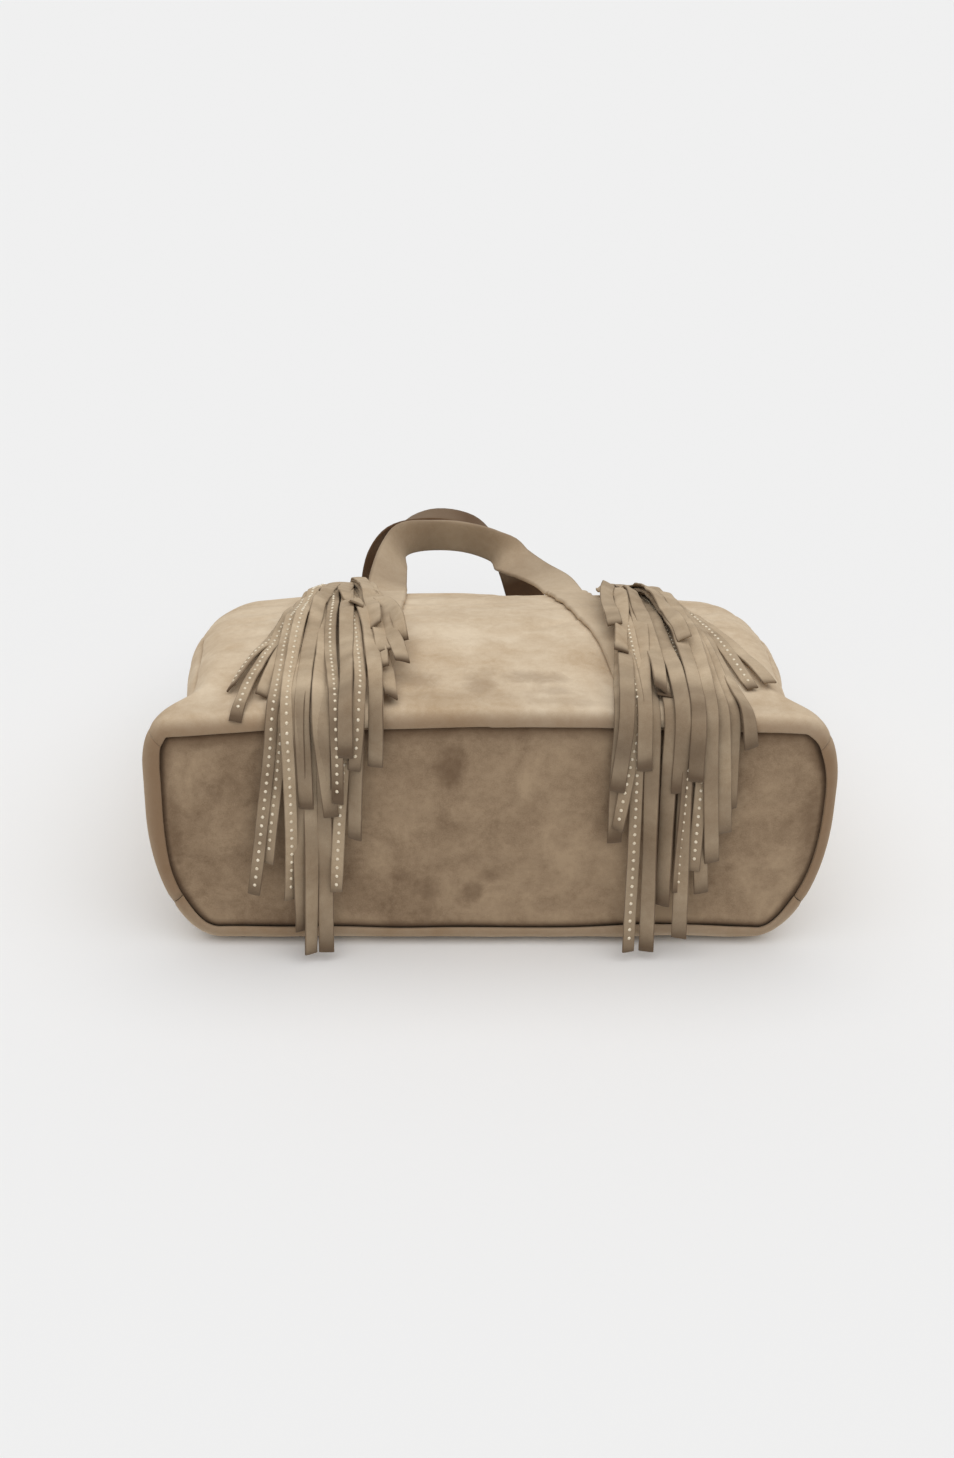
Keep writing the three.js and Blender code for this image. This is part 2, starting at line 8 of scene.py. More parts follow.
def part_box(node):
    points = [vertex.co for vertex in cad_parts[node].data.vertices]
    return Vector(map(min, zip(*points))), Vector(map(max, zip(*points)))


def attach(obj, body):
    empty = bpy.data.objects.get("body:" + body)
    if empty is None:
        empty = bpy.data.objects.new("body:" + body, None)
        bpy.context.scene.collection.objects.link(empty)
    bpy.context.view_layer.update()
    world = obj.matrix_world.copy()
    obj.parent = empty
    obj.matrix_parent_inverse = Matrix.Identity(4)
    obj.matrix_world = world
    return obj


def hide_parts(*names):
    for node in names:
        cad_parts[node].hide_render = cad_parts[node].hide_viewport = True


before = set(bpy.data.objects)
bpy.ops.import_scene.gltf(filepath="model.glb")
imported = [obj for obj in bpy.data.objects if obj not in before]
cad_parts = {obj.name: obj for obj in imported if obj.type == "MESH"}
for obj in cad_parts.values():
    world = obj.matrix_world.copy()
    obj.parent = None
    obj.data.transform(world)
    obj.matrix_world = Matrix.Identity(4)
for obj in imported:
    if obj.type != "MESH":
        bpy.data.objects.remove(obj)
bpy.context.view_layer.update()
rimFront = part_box("front_panel")[0].y  # foremost line of the rolled rim, metres
print("frame loaded:", len(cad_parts), "nodes")

# Routes and sections below are in millimetres, with y measured from the foremost line of the rim
millimetre = 0.001


def toFrame(points):
    return np.asarray(points, float) * millimetre + np.array([0.0, rimFront, 0.0])


def blend(a, b, t):
    return a + (b - a) * t


def easeStep(x, low, high):
    t = min(max((x - low) / (high - low), 0.0), 1.0)
    return t * t * (3 - 2 * t)


def ripple(x, y, z, sizes, seed):
    return noise.noise(Vector((x / sizes[0] + seed, y / sizes[1] - 2 * seed, z / sizes[2] + 3 * seed)))


def unit(vectors):
    return vectors / np.maximum(np.linalg.norm(vectors, axis=-1, keepdims=True), 1e-9)


# Camera: level, 28 degrees down, with the small sideways shift of the photograph's framing
viewpoint = {"place": (-51.4, -954.9, 657.0), "down": 28.0, "focalPixels": 1900.0, "axisColumn": 402.0,
             "frameWidth": 954.0, "frameHeight": 1458.0}


def makeCamera(v):
    data = bpy.data.cameras.new("camera")
    data.sensor_width = 36.0
    data.lens = v["focalPixels"] * data.sensor_width / v["frameHeight"]
    data.shift_x = (v["frameWidth"] / 2 - v["axisColumn"]) / v["frameHeight"]
    data.clip_start = 0.05
    data.clip_end = 60.0
    camera = bpy.data.objects.new("camera", data)
    camera.location = toFrame(v["place"])
    camera.rotation_euler = (math.radians(90.0 - v["down"]), 0.0, 0.0)
    bpy.context.scene.collection.objects.link(camera)
    bpy.context.scene.camera = camera


makeCamera(viewpoint)
print("camera placed")

# Body of the bag
body = {"baseWidth": 404.0, "waistWidth": 368.0, "bodyWidth": 388.0, "mouthWidth": 374.0,
        "baseDepth": 157.0, "bellyDepth": 160.0, "mouthDepth": 96.0, "mouthLift": 26.0, "length": 300.0,
        "earLength": 48.0, "bellyAt": 80.0, "bodyAt": 200.0, "crown": 6.0, "rim": 8.0,
        "rollLeft": 112.0, "rollRight": 84.0, "rollBack": 102.0, "rollFront": 106.0,
        "backUneven": 22.0, "frontUneven": 14.0, "bottomCorner": (42.0, 92.0),
        "topCornerBase": (17.0, 34.0), "topCornerMouth": (44.0, 54.0),
        "rightDroop": 0.35, "suede": 2.0, "rest": 3.3}


def halfWidth(y):
    b = body
    waist = b["waistWidth"] / 2
    grown = blend(waist, b["bodyWidth"] / 2, easeStep(y, b["earLength"], b["bodyAt"]))
    drawn = (b["mouthWidth"] - b["bodyWidth"]) / 2 * easeStep(y, b["bodyAt"], b["length"])
    ear = (b["baseWidth"] / 2 - waist) * (1 - easeStep(y, b["rim"], b["earLength"]))
    return grown + drawn + ear


def topHeight(y):
    b = body
    if y < b["bellyAt"]:
        return b["rest"] + blend(b["baseDepth"], b["bellyDepth"], math.sin(math.pi / 2 * y / b["bellyAt"]))
    fall = 1 - math.cos(math.pi / 2 * (y - b["bellyAt"]) / (b["length"] - b["bellyAt"]))
    return b["rest"] + blend(b["bellyDepth"], b["mouthDepth"], fall)


def bottomHeight(y):
    return body["rest"] + body["mouthLift"] * easeStep(y, body["length"] * 0.63, body["length"])


def crownAt(y):
    return body["crown"] - easeStep(y, 100.0, 240.0)


def topCorner(y):
    far = easeStep(y, 0.0, 200.0)
    return [blend(body["topCornerBase"][k], body["topCornerMouth"][k], far) for k in (0, 1)]


def outline(u, y, inset):
    v = abs(u)
    a = halfWidth(y) - inset
    low = bottomHeight(y) + inset
    crown = crownAt(y)
    high = topHeight(y) - crown - inset
    tall = high - low + 2 * inset
    cornerX, cornerZ = topCorner(y)
    if u > 0:
        droop = 1 + body["rightDroop"] * (1 - easeStep(y, 20.0, 120.0))
        cornerX, cornerZ = cornerX * droop, cornerZ * droop
    tx = max(cornerX - inset, 3.0)
    tz = max(min(cornerZ, 0.4 * tall) - inset, 3.0)
    bx = max(body["bottomCorner"][0] - inset, 3.0)
    bz = max(min(body["bottomCorner"][1], 0.58 * tall) - inset, 3.0)
    if v <= 1:
        x, z = v * (a - bx), low
    elif v <= 2:
        turn = (v - 1) * math.pi / 2
        x, z = a - bx + bx * math.sin(turn), low + bz * (1 - math.cos(turn))
    elif v <= 3:
        x, z = a, blend(low + bz, high - tz, v - 2)
    elif v <= 4:
        turn = (v - 3) * math.pi / 2
        x, z = a - tx + tx * math.cos(turn), high - tz + tz * math.sin(turn)
    else:
        x, z = (5 - v) * (a - tx), high + crown * (1 - (5 - v) ** 2)
    return (x if u >= 0 else -x), z


def panelTop(x, y):
    flat = halfWidth(y) - topCorner(y)[0]
    return topHeight(y) - crownAt(y) * min(abs(x) / flat, 1.0) ** 2


# Degrees that the wall rolls in round the base, at a place on the outline
def rollTurn(u):
    v = abs(u)
    side = body["rollRight"] if u > 0 else body["rollLeft"]
    uneven = noise.noise(Vector((3.1 * u, 0.7, 2.3 if v < 2.5 else 5.9)))
    if v < 2.5:
        flat = body["rollBack"] + body["backUneven"] * uneven
    else:
        flat = body["rollFront"] + body["frontUneven"] * uneven
    return blend(flat, side, easeStep(v, 1.0, 2.2) * (1 - easeStep(v, 2.8, 4.1)))


# How far the soft walls stand out from or sink behind their drawn outline
slackness = {"soft": 2.0, "across": 1.9, "gathers": 1.0, "crease": 1.3, "pucker": 0.35,
             "sideFolds": 2.6, "sideCreases": 1.0, "sideSink": 1.5, "backHollow": 1.4}


def frontSlack(x, y):
    s = slackness
    held = easeStep(y, 4.0, 40.0)
    soft = s["soft"] * ripple(x, y, 0, (70, 52, 1), 3.1)
    across = s["across"] * ripple(x, y, 0, (110, 16, 1), 8.7) * easeStep(y, 60.0, 150.0)
    gathers = s["gathers"] * ripple(x, y, 0, (16, 60, 1), 5.3) * (1 - easeStep(y, 20.0, 90.0))
    bend = ripple(x + 0.5 * y, y - 0.2 * x, 0, (95, 30, 1), 6.1)
    crease = -s["crease"] * max(0.0, 1 - 7 * abs(bend)) * (0.4 + 0.6 * easeStep(y, 50.0, 130.0))
    pucker = s["pucker"] * ripple(x, y, 0, (30, 40, 1), 9.9)
    return held * (soft + across + gathers + crease) + pucker


def sideSlack(x, y, z):
    held = easeStep(y, 2.0, 60.0)
    folds = slackness["sideFolds"] * ripple(0, y, z, (1, 90, 26), 5.2 if x > 0 else 2.6)
    creases = slackness["sideCreases"] * ripple(0, y, z, (1, 26, 60), 1.7 if x > 0 else 7.4)
    return held * (folds + creases - slackness["sideSink"])


def backSlack(x, y):
    return -slackness["backHollow"] * abs(ripple(x, y, 0, (60, 45, 1), 6.6))


def wallSlack(u, x, y, z):
    v = abs(u)
    if v < 1.5:
        return backSlack(x, y)
    side = sideSlack(x, y, z)
    if v < 3.2:
        return side * easeStep(v, 1.5, 1.9)
    return blend(side, frontSlack(x, y), easeStep(v, 3.2, 4.1))


def newPiece(name, vertices, faces, material):
    mesh = bpy.data.meshes.new(name)
    mesh.from_pydata([tuple(p) for p in toFrame(vertices)], [], faces)
    mesh.validate()
    mesh.shade_smooth()
    mesh.materials.append(material)
    piece = bpy.data.objects.new(name, mesh)
    bpy.context.scene.collection.objects.link(piece)
    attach(piece, "root")
    return piece


def giveShade(piece, name, values):
    attribute = piece.data.attributes.new(name, "FLOAT", "POINT")
    attribute.data.foreach_set("value", np.asarray(values, np.float32))


# Closed sheet between an outer and an inner grid of points
def sheetFaces(rows, cols, ring=False):
    count = rows * cols
    spans = cols if ring else cols - 1
    faces = []
    for j in range(rows - 1):
        for i in range(spans):
            a, b = j * cols + i, j * cols + (i + 1) % cols
            c, d = b + cols, a + cols
            faces.append((a, b, c, d))
            faces.append((count + a, count + d, count + c, count + b))
        if not ring:
            a, d = j * cols, (j + 1) * cols
            faces.append((count + a, a, d, count + d))
            a, d = a + cols - 1, d + cols - 1
            faces.append((a, count + a, count + d, d))
    for i in range(spans):
        a, b = i, (i + 1) % cols
        faces.append((a, count + a, count + b, b))
        a, b = a + (rows - 1) * cols, b + (rows - 1) * cols
        faces.append((a, b, count + b, count + a))
    return faces


def facingOut(vertices, faces):
    points = np.asarray(vertices, float)
    corners = [(f[0], f[k], f[k + 1]) for f in faces for k in range(1, len(f) - 1)]
    a, b, c = (points[list(side)] for side in zip(*corners))
    total = np.sum(a * np.cross(b, c))
    return faces if total > 0 else [tuple(reversed(f)) for f in faces]


# Materials
def paint(red, green, blue):
    def linear(c):
        c = c / 255.0
        return c / 12.92 if c <= 0.04045 else ((c + 0.055) / 1.055) ** 2.4
    return (linear(red), linear(green), linear(blue), 1.0)


def newGroup(name, inputs, outputs):
    group = bpy.data.node_groups.new(name, "ShaderNodeTree")
    for label, kind, value in inputs:
        socket = group.interface.new_socket(label, in_out="INPUT", socket_type=kind)
        if value is not None:
            socket.default_value = value
    for label, kind in outputs:
        group.interface.new_socket(label, in_out="OUTPUT", socket_type=kind)
    return group, group.nodes.new("NodeGroupInput"), group.nodes.new("NodeGroupOutput")


def addMath(tree, operation, a, b=None, c=None, clamp=False):
    node = tree.nodes.new("ShaderNodeMath")
    node.operation = operation
    node.use_clamp = clamp
    for k, value in enumerate((a, b, c)):
        if value is None:
            continue
        if isinstance(value, (int, float)):
            node.inputs[k].default_value = value
        else:
            tree.links.new(value, node.inputs[k])
    return node.outputs[0]


def addNoise(tree, coordinates, scale, detail, roughness=0.55, distortion=0.0):
    node = tree.nodes.new("ShaderNodeTexNoise")
    node.inputs["Scale"].default_value = scale
    node.inputs["Detail"].default_value = detail
    node.inputs["Roughness"].default_value = roughness
    node.inputs["Distortion"].default_value = distortion
    tree.links.new(coordinates, node.inputs["Vector"])
    return node.outputs[0]


def addMix(tree, factor, a, b, blendType="MIX"):
    node = tree.nodes.new("ShaderNodeMix")
    node.data_type = "RGBA"
    node.blend_type = blendType
    for socket, value in ((node.inputs[0], factor), (node.inputs[6], a), (node.inputs[7], b)):
        if isinstance(value, (int, float, tuple)):
            socket.default_value = value
        else:
            tree.links.new(value, socket)
    return node.outputs[2]


# Suede nap: mottled colour, brushed patches and short fibres
napSizes = {"patch": 13.0, "brush": 42.0, "clump": 260.0, "fibre": 1500.0}


def makeNapGroup():
    group, given, made = newGroup(
        "suedeNap",
        [("Light", "NodeSocketColor", (0.6, 0.5, 0.36, 1)), ("Dark", "NodeSocketColor", (0.4, 0.3, 0.2, 1)),
         ("Patches", "NodeSocketFloat", 1.0), ("Nap", "NodeSocketFloat", 1.0)],
        [("Color", "NodeSocketColor"), ("Roughness", "NodeSocketFloat"), ("Height", "NodeSocketFloat")])
    place = group.nodes.new("ShaderNodeTexCoord").outputs["Object"]
    patch = addNoise(group, place, napSizes["patch"], 4.0, 0.6, 0.4)
    brush = addNoise(group, place, napSizes["brush"], 3.0, 0.6, 0.8)
    clump = addNoise(group, place, napSizes["clump"], 3.0)
    fibre = addNoise(group, place, napSizes["fibre"], 2.0)
    wide = addMath(group, "MULTIPLY_ADD", patch, 1.5, -0.75)
    mid = addMath(group, "MULTIPLY_ADD", brush, 0.9, -0.45)
    broad = addMath(group, "MULTIPLY", addMath(group, "ADD", wide, mid), given.outputs["Patches"])
    small = addMath(group, "MULTIPLY_ADD", clump, 0.5, -0.25)
    tiny = addMath(group, "MULTIPLY_ADD", fibre, 0.55, -0.275)
    fine = addMath(group, "MULTIPLY", addMath(group, "ADD", small, tiny), given.outputs["Nap"])
    share = addMath(group, "ADD", addMath(group, "ADD", broad, fine), 0.62, clamp=True)
    group.links.new(addMix(group, share, given.outputs["Dark"], given.outputs["Light"]), made.inputs["Color"])
    group.links.new(addMath(group, "MULTIPLY_ADD", clump, -0.14, 1.0, clamp=True), made.inputs["Roughness"])
    clumps = addMath(group, "MULTIPLY", clump, 0.6)
    height = addMath(group, "ADD", clumps, addMath(group, "MULTIPLY", fibre, 0.4))
    group.links.new(height, made.inputs["Height"])
    return group


# A handling mark: a soft ragged patch round one place
def makeMarkGroup():
    group, given, made = newGroup(
        "handlingMark",
        [("Place", "NodeSocketVector", (0.0, 0.0, 0.0)), ("Stretch", "NodeSocketVector", (1.0, 1.0, 1.0)),
         ("Size", "NodeSocketFloat", 0.02)],
        [("Mask", "NodeSocketFloat")])
    place = group.nodes.new("ShaderNodeTexCoord").outputs["Object"]
    offset = group.nodes.new("ShaderNodeVectorMath")
    offset.operation = "SUBTRACT"
    group.links.new(place, offset.inputs[0])
    group.links.new(given.outputs["Place"], offset.inputs[1])
    squeeze = group.nodes.new("ShaderNodeVectorMath")
    squeeze.operation = "DIVIDE"
    group.links.new(offset.outputs[0], squeeze.inputs[0])
    group.links.new(given.outputs["Stretch"], squeeze.inputs[1])
    away = group.nodes.new("ShaderNodeVectorMath")
    away.operation = "LENGTH"
    group.links.new(squeeze.outputs[0], away.inputs[0])
    reach = addMath(group, "DIVIDE", away.outputs["Value"], given.outputs["Size"])
    near = addMath(group, "SUBTRACT", 1.0, reach)
    ragged = addMath(group, "MULTIPLY_ADD", addNoise(group, place, 75.0, 4.0, 0.65, 0.6), 1.7, -0.85)
    mask = addMath(group, "MULTIPLY_ADD", near, 1.1, addMath(group, "MULTIPLY", ragged, 0.9))
    group.links.new(addMath(group, "MULTIPLY", mask, 1.3, clamp=True), made.inputs["Mask"])
    return group


napGroup = makeNapGroup()
markGroup = makeMarkGroup()

# The mark colour darkens both the real stains and the painted shade held in each finish's shade attribute
suedeFinishes = {
    "panelSuede": {"light": (224, 206, 180), "dark": (184, 158, 126), "patches": 1.12, "nap": 0.9,
                   "markAndShadeColor": (122, 94, 68), "markAndShadeStrength": 0.62, "shade": "grimeAndShade",
                   "marks": [((-44, 37, 160), (1.2, 1.0, 2), 14, 0.58),
                             ((-5, 33, 160), (0.9, 1.5, 2), 15, 0.6),
                             ((25, 41, 160), (1.8, 0.8, 2), 14, 0.62),
                             ((38, 24, 160), (1.6, 0.8, 2), 12, 0.5),
                             ((-20, 18, 160), (7.0, 0.8, 2), 13, 0.36),
                             ((40, 12, 160), (3.0, 0.8, 2), 12, 0.42)]},
    # The base suede's colours are set darker than the panel suede's to paint the shade on the base, which
    # faces the camera and gets little of the top light
    "baseSuedeShaded": {"light": (168, 145, 118), "dark": (112, 90, 69), "patches": 1.2, "nap": 1.0,
                  "markAndShadeColor": (84, 60, 41), "markAndShadeStrength": 0.7, "shade": "grimeAndShade",
                  "marks": [((-23, 4, 122), (0.9, 1, 1.3), 13, 0.62),
                            ((-37, 3, 39), (1.2, 1, 0.9), 10, 0.45),
                            ((-9, 3, 38), (0.9, 1, 1.0), 10, 0.6),
                            ((2, 3, 50), (1.2, 1, 0.8), 9, 0.55),
                            ((-20, 4, 146), (9.0, 1, 0.6), 11, 0.6),
                            ((0, 3, 12), (12.0, 1, 0.5), 10, 0.4),
                            ((-188, 3, 80), (0.5, 1, 3.0), 18, 0.5),
                            ((188, 3, 80), (0.5, 1, 3.0), 18, 0.5)]},
    "strapSuede": {"light": (216, 197, 170), "dark": (176, 152, 123), "patches": 0.7, "nap": 0.8,
                   "markAndShadeColor": (92, 68, 48), "markAndShadeStrength": 0.8, "shade": "gripAndShade"},
    "fringeSuede": {"light": (206, 186, 158), "dark": (160, 136, 108), "patches": 0.85, "nap": 0.9,
                    "markAndShadeColor": (74, 54, 38), "markAndShadeStrength": 0.85, "shade": "grimeAndShade"},
}


def makeSuede(name, finish):
    material = bpy.data.materials.new(name)
    material.use_nodes = True
    tree = material.node_tree
    shader = tree.nodes["Principled BSDF"]
    shader.inputs["Specular IOR Level"].default_value = 0.15
    shader.inputs["Sheen Weight"].default_value = 0.18
    shader.inputs["Sheen Roughness"].default_value = 0.55
    shader.inputs["Sheen Tint"].default_value = paint(236, 218, 192)
    nap = tree.nodes.new("ShaderNodeGroup")
    nap.node_tree = napGroup
    nap.inputs["Light"].default_value = paint(*finish["light"])
    nap.inputs["Dark"].default_value = paint(*finish["dark"])
    nap.inputs["Patches"].default_value = finish["patches"]
    nap.inputs["Nap"].default_value = finish["nap"]
    color = nap.outputs["Color"]
    masks = []
    for place, stretch, size, depth in finish.get("marks", []):
        mark = tree.nodes.new("ShaderNodeGroup")
        mark.node_tree = markGroup
        mark.inputs["Place"].default_value = toFrame(place)
        mark.inputs["Stretch"].default_value = stretch
        mark.inputs["Size"].default_value = size * millimetre
        masks.append(addMath(tree, "MULTIPLY", mark.outputs["Mask"], depth))
    # The shade attribute holds dirt together with painted shade; it is mixed towards the same dark colour as
    # the stains
    if "shade" in finish:
        tintShare = tree.nodes.new("ShaderNodeAttribute")
        tintShare.attribute_name = finish["shade"]
        masks.append(tintShare.outputs["Fac"])
    if masks:
        total = masks[0]
        for mask in masks[1:]:
            total = addMath(tree, "MAXIMUM", total, mask)
        amount = addMath(tree, "MULTIPLY", total, finish["markAndShadeStrength"], clamp=True)
        color = addMix(tree, amount, color, paint(*finish["markAndShadeColor"]))
    tree.links.new(color, shader.inputs["Base Color"])
    tree.links.new(nap.outputs["Roughness"], shader.inputs["Roughness"])
    bump = tree.nodes.new("ShaderNodeBump")
    bump.inputs["Strength"].default_value = 0.35
    bump.inputs["Distance"].default_value = 0.0006
    tree.links.new(nap.outputs["Height"], bump.inputs["Height"])
    tree.links.new(bump.outputs["Normal"], shader.inputs["Normal"])
    return material


# Woven lining: two crossed sets of yarns
liningFinish = {"yarn": (150, 132, 108), "gap": (104, 90, 72), "perMetre": 1500.0}


def makeLiningCloth(finish):
    material = bpy.data.materials.new("liningCloth")
    material.use_nodes = True
    tree = material.node_tree
    shader = tree.nodes["Principled BSDF"]
    shader.inputs["Specular IOR Level"].default_value = 0.2
    place = tree.nodes.new("ShaderNodeTexCoord").outputs["Object"]
    yarns = []
    for direction in ("X", "Y"):
        wave = tree.nodes.new("ShaderNodeTexWave")
        wave.bands_direction = direction
        wave.inputs["Scale"].default_value = finish["perMetre"] / 20.0
        wave.inputs["Distortion"].default_value = 0.6
        wave.inputs["Detail"].default_value = 1.0
        tree.links.new(place, wave.inputs["Vector"])
        yarns.append(wave.outputs["Fac"])
    weave = addMath(tree, "MULTIPLY", addMath(tree, "ADD", yarns[0], yarns[1]), 0.5)
    slub = addMath(tree, "MULTIPLY", weave, addNoise(tree, place, 30.0, 3.0))
    share = addMath(tree, "MULTIPLY", slub, 1.7, clamp=True)
    color = addMix(tree, share, paint(*finish["gap"]), paint(*finish["yarn"]))
    tree.links.new(color, shader.inputs["Base Color"])
    tree.links.new(addMath(tree, "MULTIPLY_ADD", weave, -0.15, 0.95), shader.inputs["Roughness"])
    bump = tree.nodes.new("ShaderNodeBump")
    bump.inputs["Strength"].default_value = 0.4
    bump.inputs["Distance"].default_value = 0.0004
    tree.links.new(weave, bump.inputs["Height"])
    tree.links.new(bump.outputs["Normal"], shader.inputs["Normal"])
    return material


# Small bright studs, with a little tarnish
studFinish = {"bright": (250, 240, 220), "tarnished": (206, 188, 156)}


def makeStudMetal(finish):
    material = bpy.data.materials.new("studMetal")
    material.use_nodes = True
    tree = material.node_tree
    shader = tree.nodes["Principled BSDF"]
    shader.inputs["Metallic"].default_value = 0.35
    place = tree.nodes.new("ShaderNodeTexCoord").outputs["Object"]
    tintShare = addNoise(tree, place, 180.0, 2.0)
    color = addMix(tree, tintShare, paint(*finish["tarnished"]), paint(*finish["bright"]))
    tree.links.new(color, shader.inputs["Base Color"])
    tree.links.new(addMath(tree, "MULTIPLY_ADD", tintShare, -0.2, 0.5), shader.inputs["Roughness"])
    return material


# Grey pulp board behind the base, and the sewing thread
plainFinishes = {"boardPulp": {"light": (176, 164, 144), "dark": (140, 128, 110), "grain": 160.0},
                 "sewingThread": {"light": (206, 190, 164), "dark": (164, 144, 118), "grain": 900.0}}


def makeGrained(name, finish):
    material = bpy.data.materials.new(name)
    material.use_nodes = True
    tree = material.node_tree
    shader = tree.nodes["Principled BSDF"]
    place = tree.nodes.new("ShaderNodeTexCoord").outputs["Object"]
    grain = addNoise(tree, place, finish["grain"], 4.0)
    color = addMix(tree, grain, paint(*finish["dark"]), paint(*finish["light"]))
    tree.links.new(color, shader.inputs["Base Color"])
    tree.links.new(addMath(tree, "MULTIPLY_ADD", grain, -0.2, 0.95), shader.inputs["Roughness"])
    return material


suedes = {name: makeSuede(name, finish) for name, finish in suedeFinishes.items()}
liningCloth = makeLiningCloth(liningFinish)
studMetal = makeStudMetal(studFinish)
boardPulp = makeGrained("boardPulp", plainFinishes["boardPulp"])
sewingThread = makeGrained("sewingThread", plainFinishes["sewingThread"])
print("materials made:", len(bpy.data.materials))

# Rows on which straps and strands lie: on the panel, round the roll, and hanging in front of the base
laying = {"panelStep": 25.0, "hangStep": 30.0, "fine": 5.0, "rollSteps": 3, "sag": 2.0, "gap": 0.4,
          "strandGap": 0.3, "strapFree": 40.0, "hangBow": 12.0}
quarter = body["rim"] * math.pi / 2
hangLength = panelTop(0.0, body["rim"]) - body["crown"] - body["rim"]


def lay(x, s, lift):
    rim = body["rim"]
    if s >= quarter:
        y = s - quarter + rim
        slope = (panelTop(x, y + 1) - panelTop(x, y - 1)) / 2
        upright = 1 / math.hypot(1, slope)
        lift = lift + frontSlack(x, y)
        return np.array([x, y - slope * upright * lift, panelTop(x, y) + upright * lift])
    centre = panelTop(x, rim) - rim
    radius = rim + lift + frontSlack(x, rim)
    if s >= 0:
        turn = (1 - s / quarter) * math.pi / 2
        return np.array([x, rim - radius * math.sin(turn), centre + radius * math.cos(turn)])
    return np.array([x, rim - radius - laying["hangBow"] * (s / hangLength) ** 2, centre + s])


finePerPanel = round(laying["panelStep"] / laying["fine"])
finePerHang = round(laying["hangStep"] / laying["fine"])
laidPanels = int((body["length"] - laying["strapFree"] - body["rim"]) // (finePerPanel * laying["fine"]))
panelLeaves = body["rim"] + laidPanels * finePerPanel * laying["fine"]
rowsDown, stations = [], []
for k in range(laidPanels * finePerPanel, 0, -1):
    if k % finePerPanel == 0:
        stations.append(len(rowsDown))
    rowsDown.append(k * laying["fine"] + quarter)
for k in range(laying["rollSteps"], -1, -1):
    stations.append(len(rowsDown))
    rowsDown.append(quarter * k / laying["rollSteps"])
for k in range(1, int(hangLength // laying["fine"]) + 1):
    if k % finePerHang == 0:
        stations.append(len(rowsDown))
    rowsDown.append(-k * laying["fine"])


def nearestRow(s):
    return min(range(len(rowsDown)), key=lambda k: abs(rowsDown[k] - s))


def placeOn(route, s):
    total = 0.0
    for ease in (-16, -8, 0, 8, 16):
        t = s + ease
        k = next((i for i, p in enumerate(route) if p[1] <= t), -1)
        k = len(route) - 1 if k < 0 else max(k, 1)
        (x0, s0), (x1, s1) = route[k - 1], route[k]
        total += blend(x0, x1, (s0 - t) / (s0 - s1))
    return total / 5


# Each ribbon rests on the panel and on every ribbon placed before it
laid = []


def settle(route, width, thickness, startRow, endRow):
    ribbon = {"start": startRow, "end": endRow, "x": {}, "half": {}, "top": {}}
    need = {}
    for k in range(startRow, endRow + 1):
        s = rowsDown[k]
        lean = (placeOn(route, s + 2) - placeOn(route, s - 2)) / 4
        ribbon["x"][k] = placeOn(route, s)
        ribbon["half"][k] = width / 2 * math.hypot(1, lean)
        need[k] = laying["gap"]
        for other in laid:
            row = min(max(k, other["start"]), other["end"])
            reach = ribbon["half"][k] + other["half"][row] + laying["strandGap"]
            if abs(row - k) <= 1 and abs(ribbon["x"][k] - other["x"][row]) < reach:
                need[k] = max(need[k], other["top"][row] + laying["strandGap"])
    knots = [startRow] + [k for k in stations if startRow < k < endRow] + [endRow]
    lift = [need[k] for k in knots]
    for _ in range(60):
        for i in range(len(knots) - 1):
            low, high = knots[i], knots[i + 1]
            for k in range(low, high + 1):
                part = (k - low) / (high - low)
                short = need[k] - blend(lift[i], lift[i + 1], part)
                if short > 0:
                    share = short / (part ** 2 + (1 - part) ** 2)
                    lift[i] += share * (1 - part)
                    lift[i + 1] += share * part
        for i in range(1, len(lift) - 1):
            lift[i] = max(lift[i], (lift[i - 1] + lift[i + 1]) / 2 - laying["sag"])
    for i in range(len(knots) - 1):
        for k in range(knots[i], knots[i + 1] + 1):
            part = (k - knots[i]) / (knots[i + 1] - knots[i])
            ribbon["top"][k] = blend(lift[i], lift[i + 1], part) + thickness
    laid.append(ribbon)
    return ribbon


# Middle line and across direction of a laid ribbon
def ribbonLine(ribbon, thickness):
    rows = range(ribbon["start"], ribbon["end"] + 1)
    lifts = np.array([ribbon["top"][k] - thickness / 2 for k in rows])
    padded = np.concatenate([lifts[:1], lifts, lifts[-1:]])
    lifts = np.maximum(lifts, (padded[:-2] + 2 * padded[1:-1] + padded[2:]) / 4)
    centres, acrosses = [], []
    for k, lift in zip(rows, lifts):
        x, half, s = ribbon["x"][k], ribbon["half"][k], rowsDown[k]
        left, right = lay(x - half, s, lift), lay(x + half, s, lift)
        centres.append((left + right) / 2)
        acrosses.append(right - left)
    return np.array(centres), unit(np.array(acrosses))


def frameAlong(centres, acrosses):
    along = unit(np.gradient(centres, axis=0))
    across = unit(acrosses - along * np.sum(acrosses * along, axis=1, keepdims=True))
    return along, across, unit(np.cross(along, across))


# Rounded flat section: share of the half width, share of the half thickness
flatSection = [(-1, 0), (-0.965, 0.75), (-0.86, 1), (-0.5, 1), (0, 1), (0.5, 1), (0.86, 1), (0.965, 0.75),
               (1, 0), (0.965, -0.75), (0.86, -1), (0.5, -1), (0, -1), (-0.5, -1), (-0.86, -1),
               (-0.965, -0.75)]


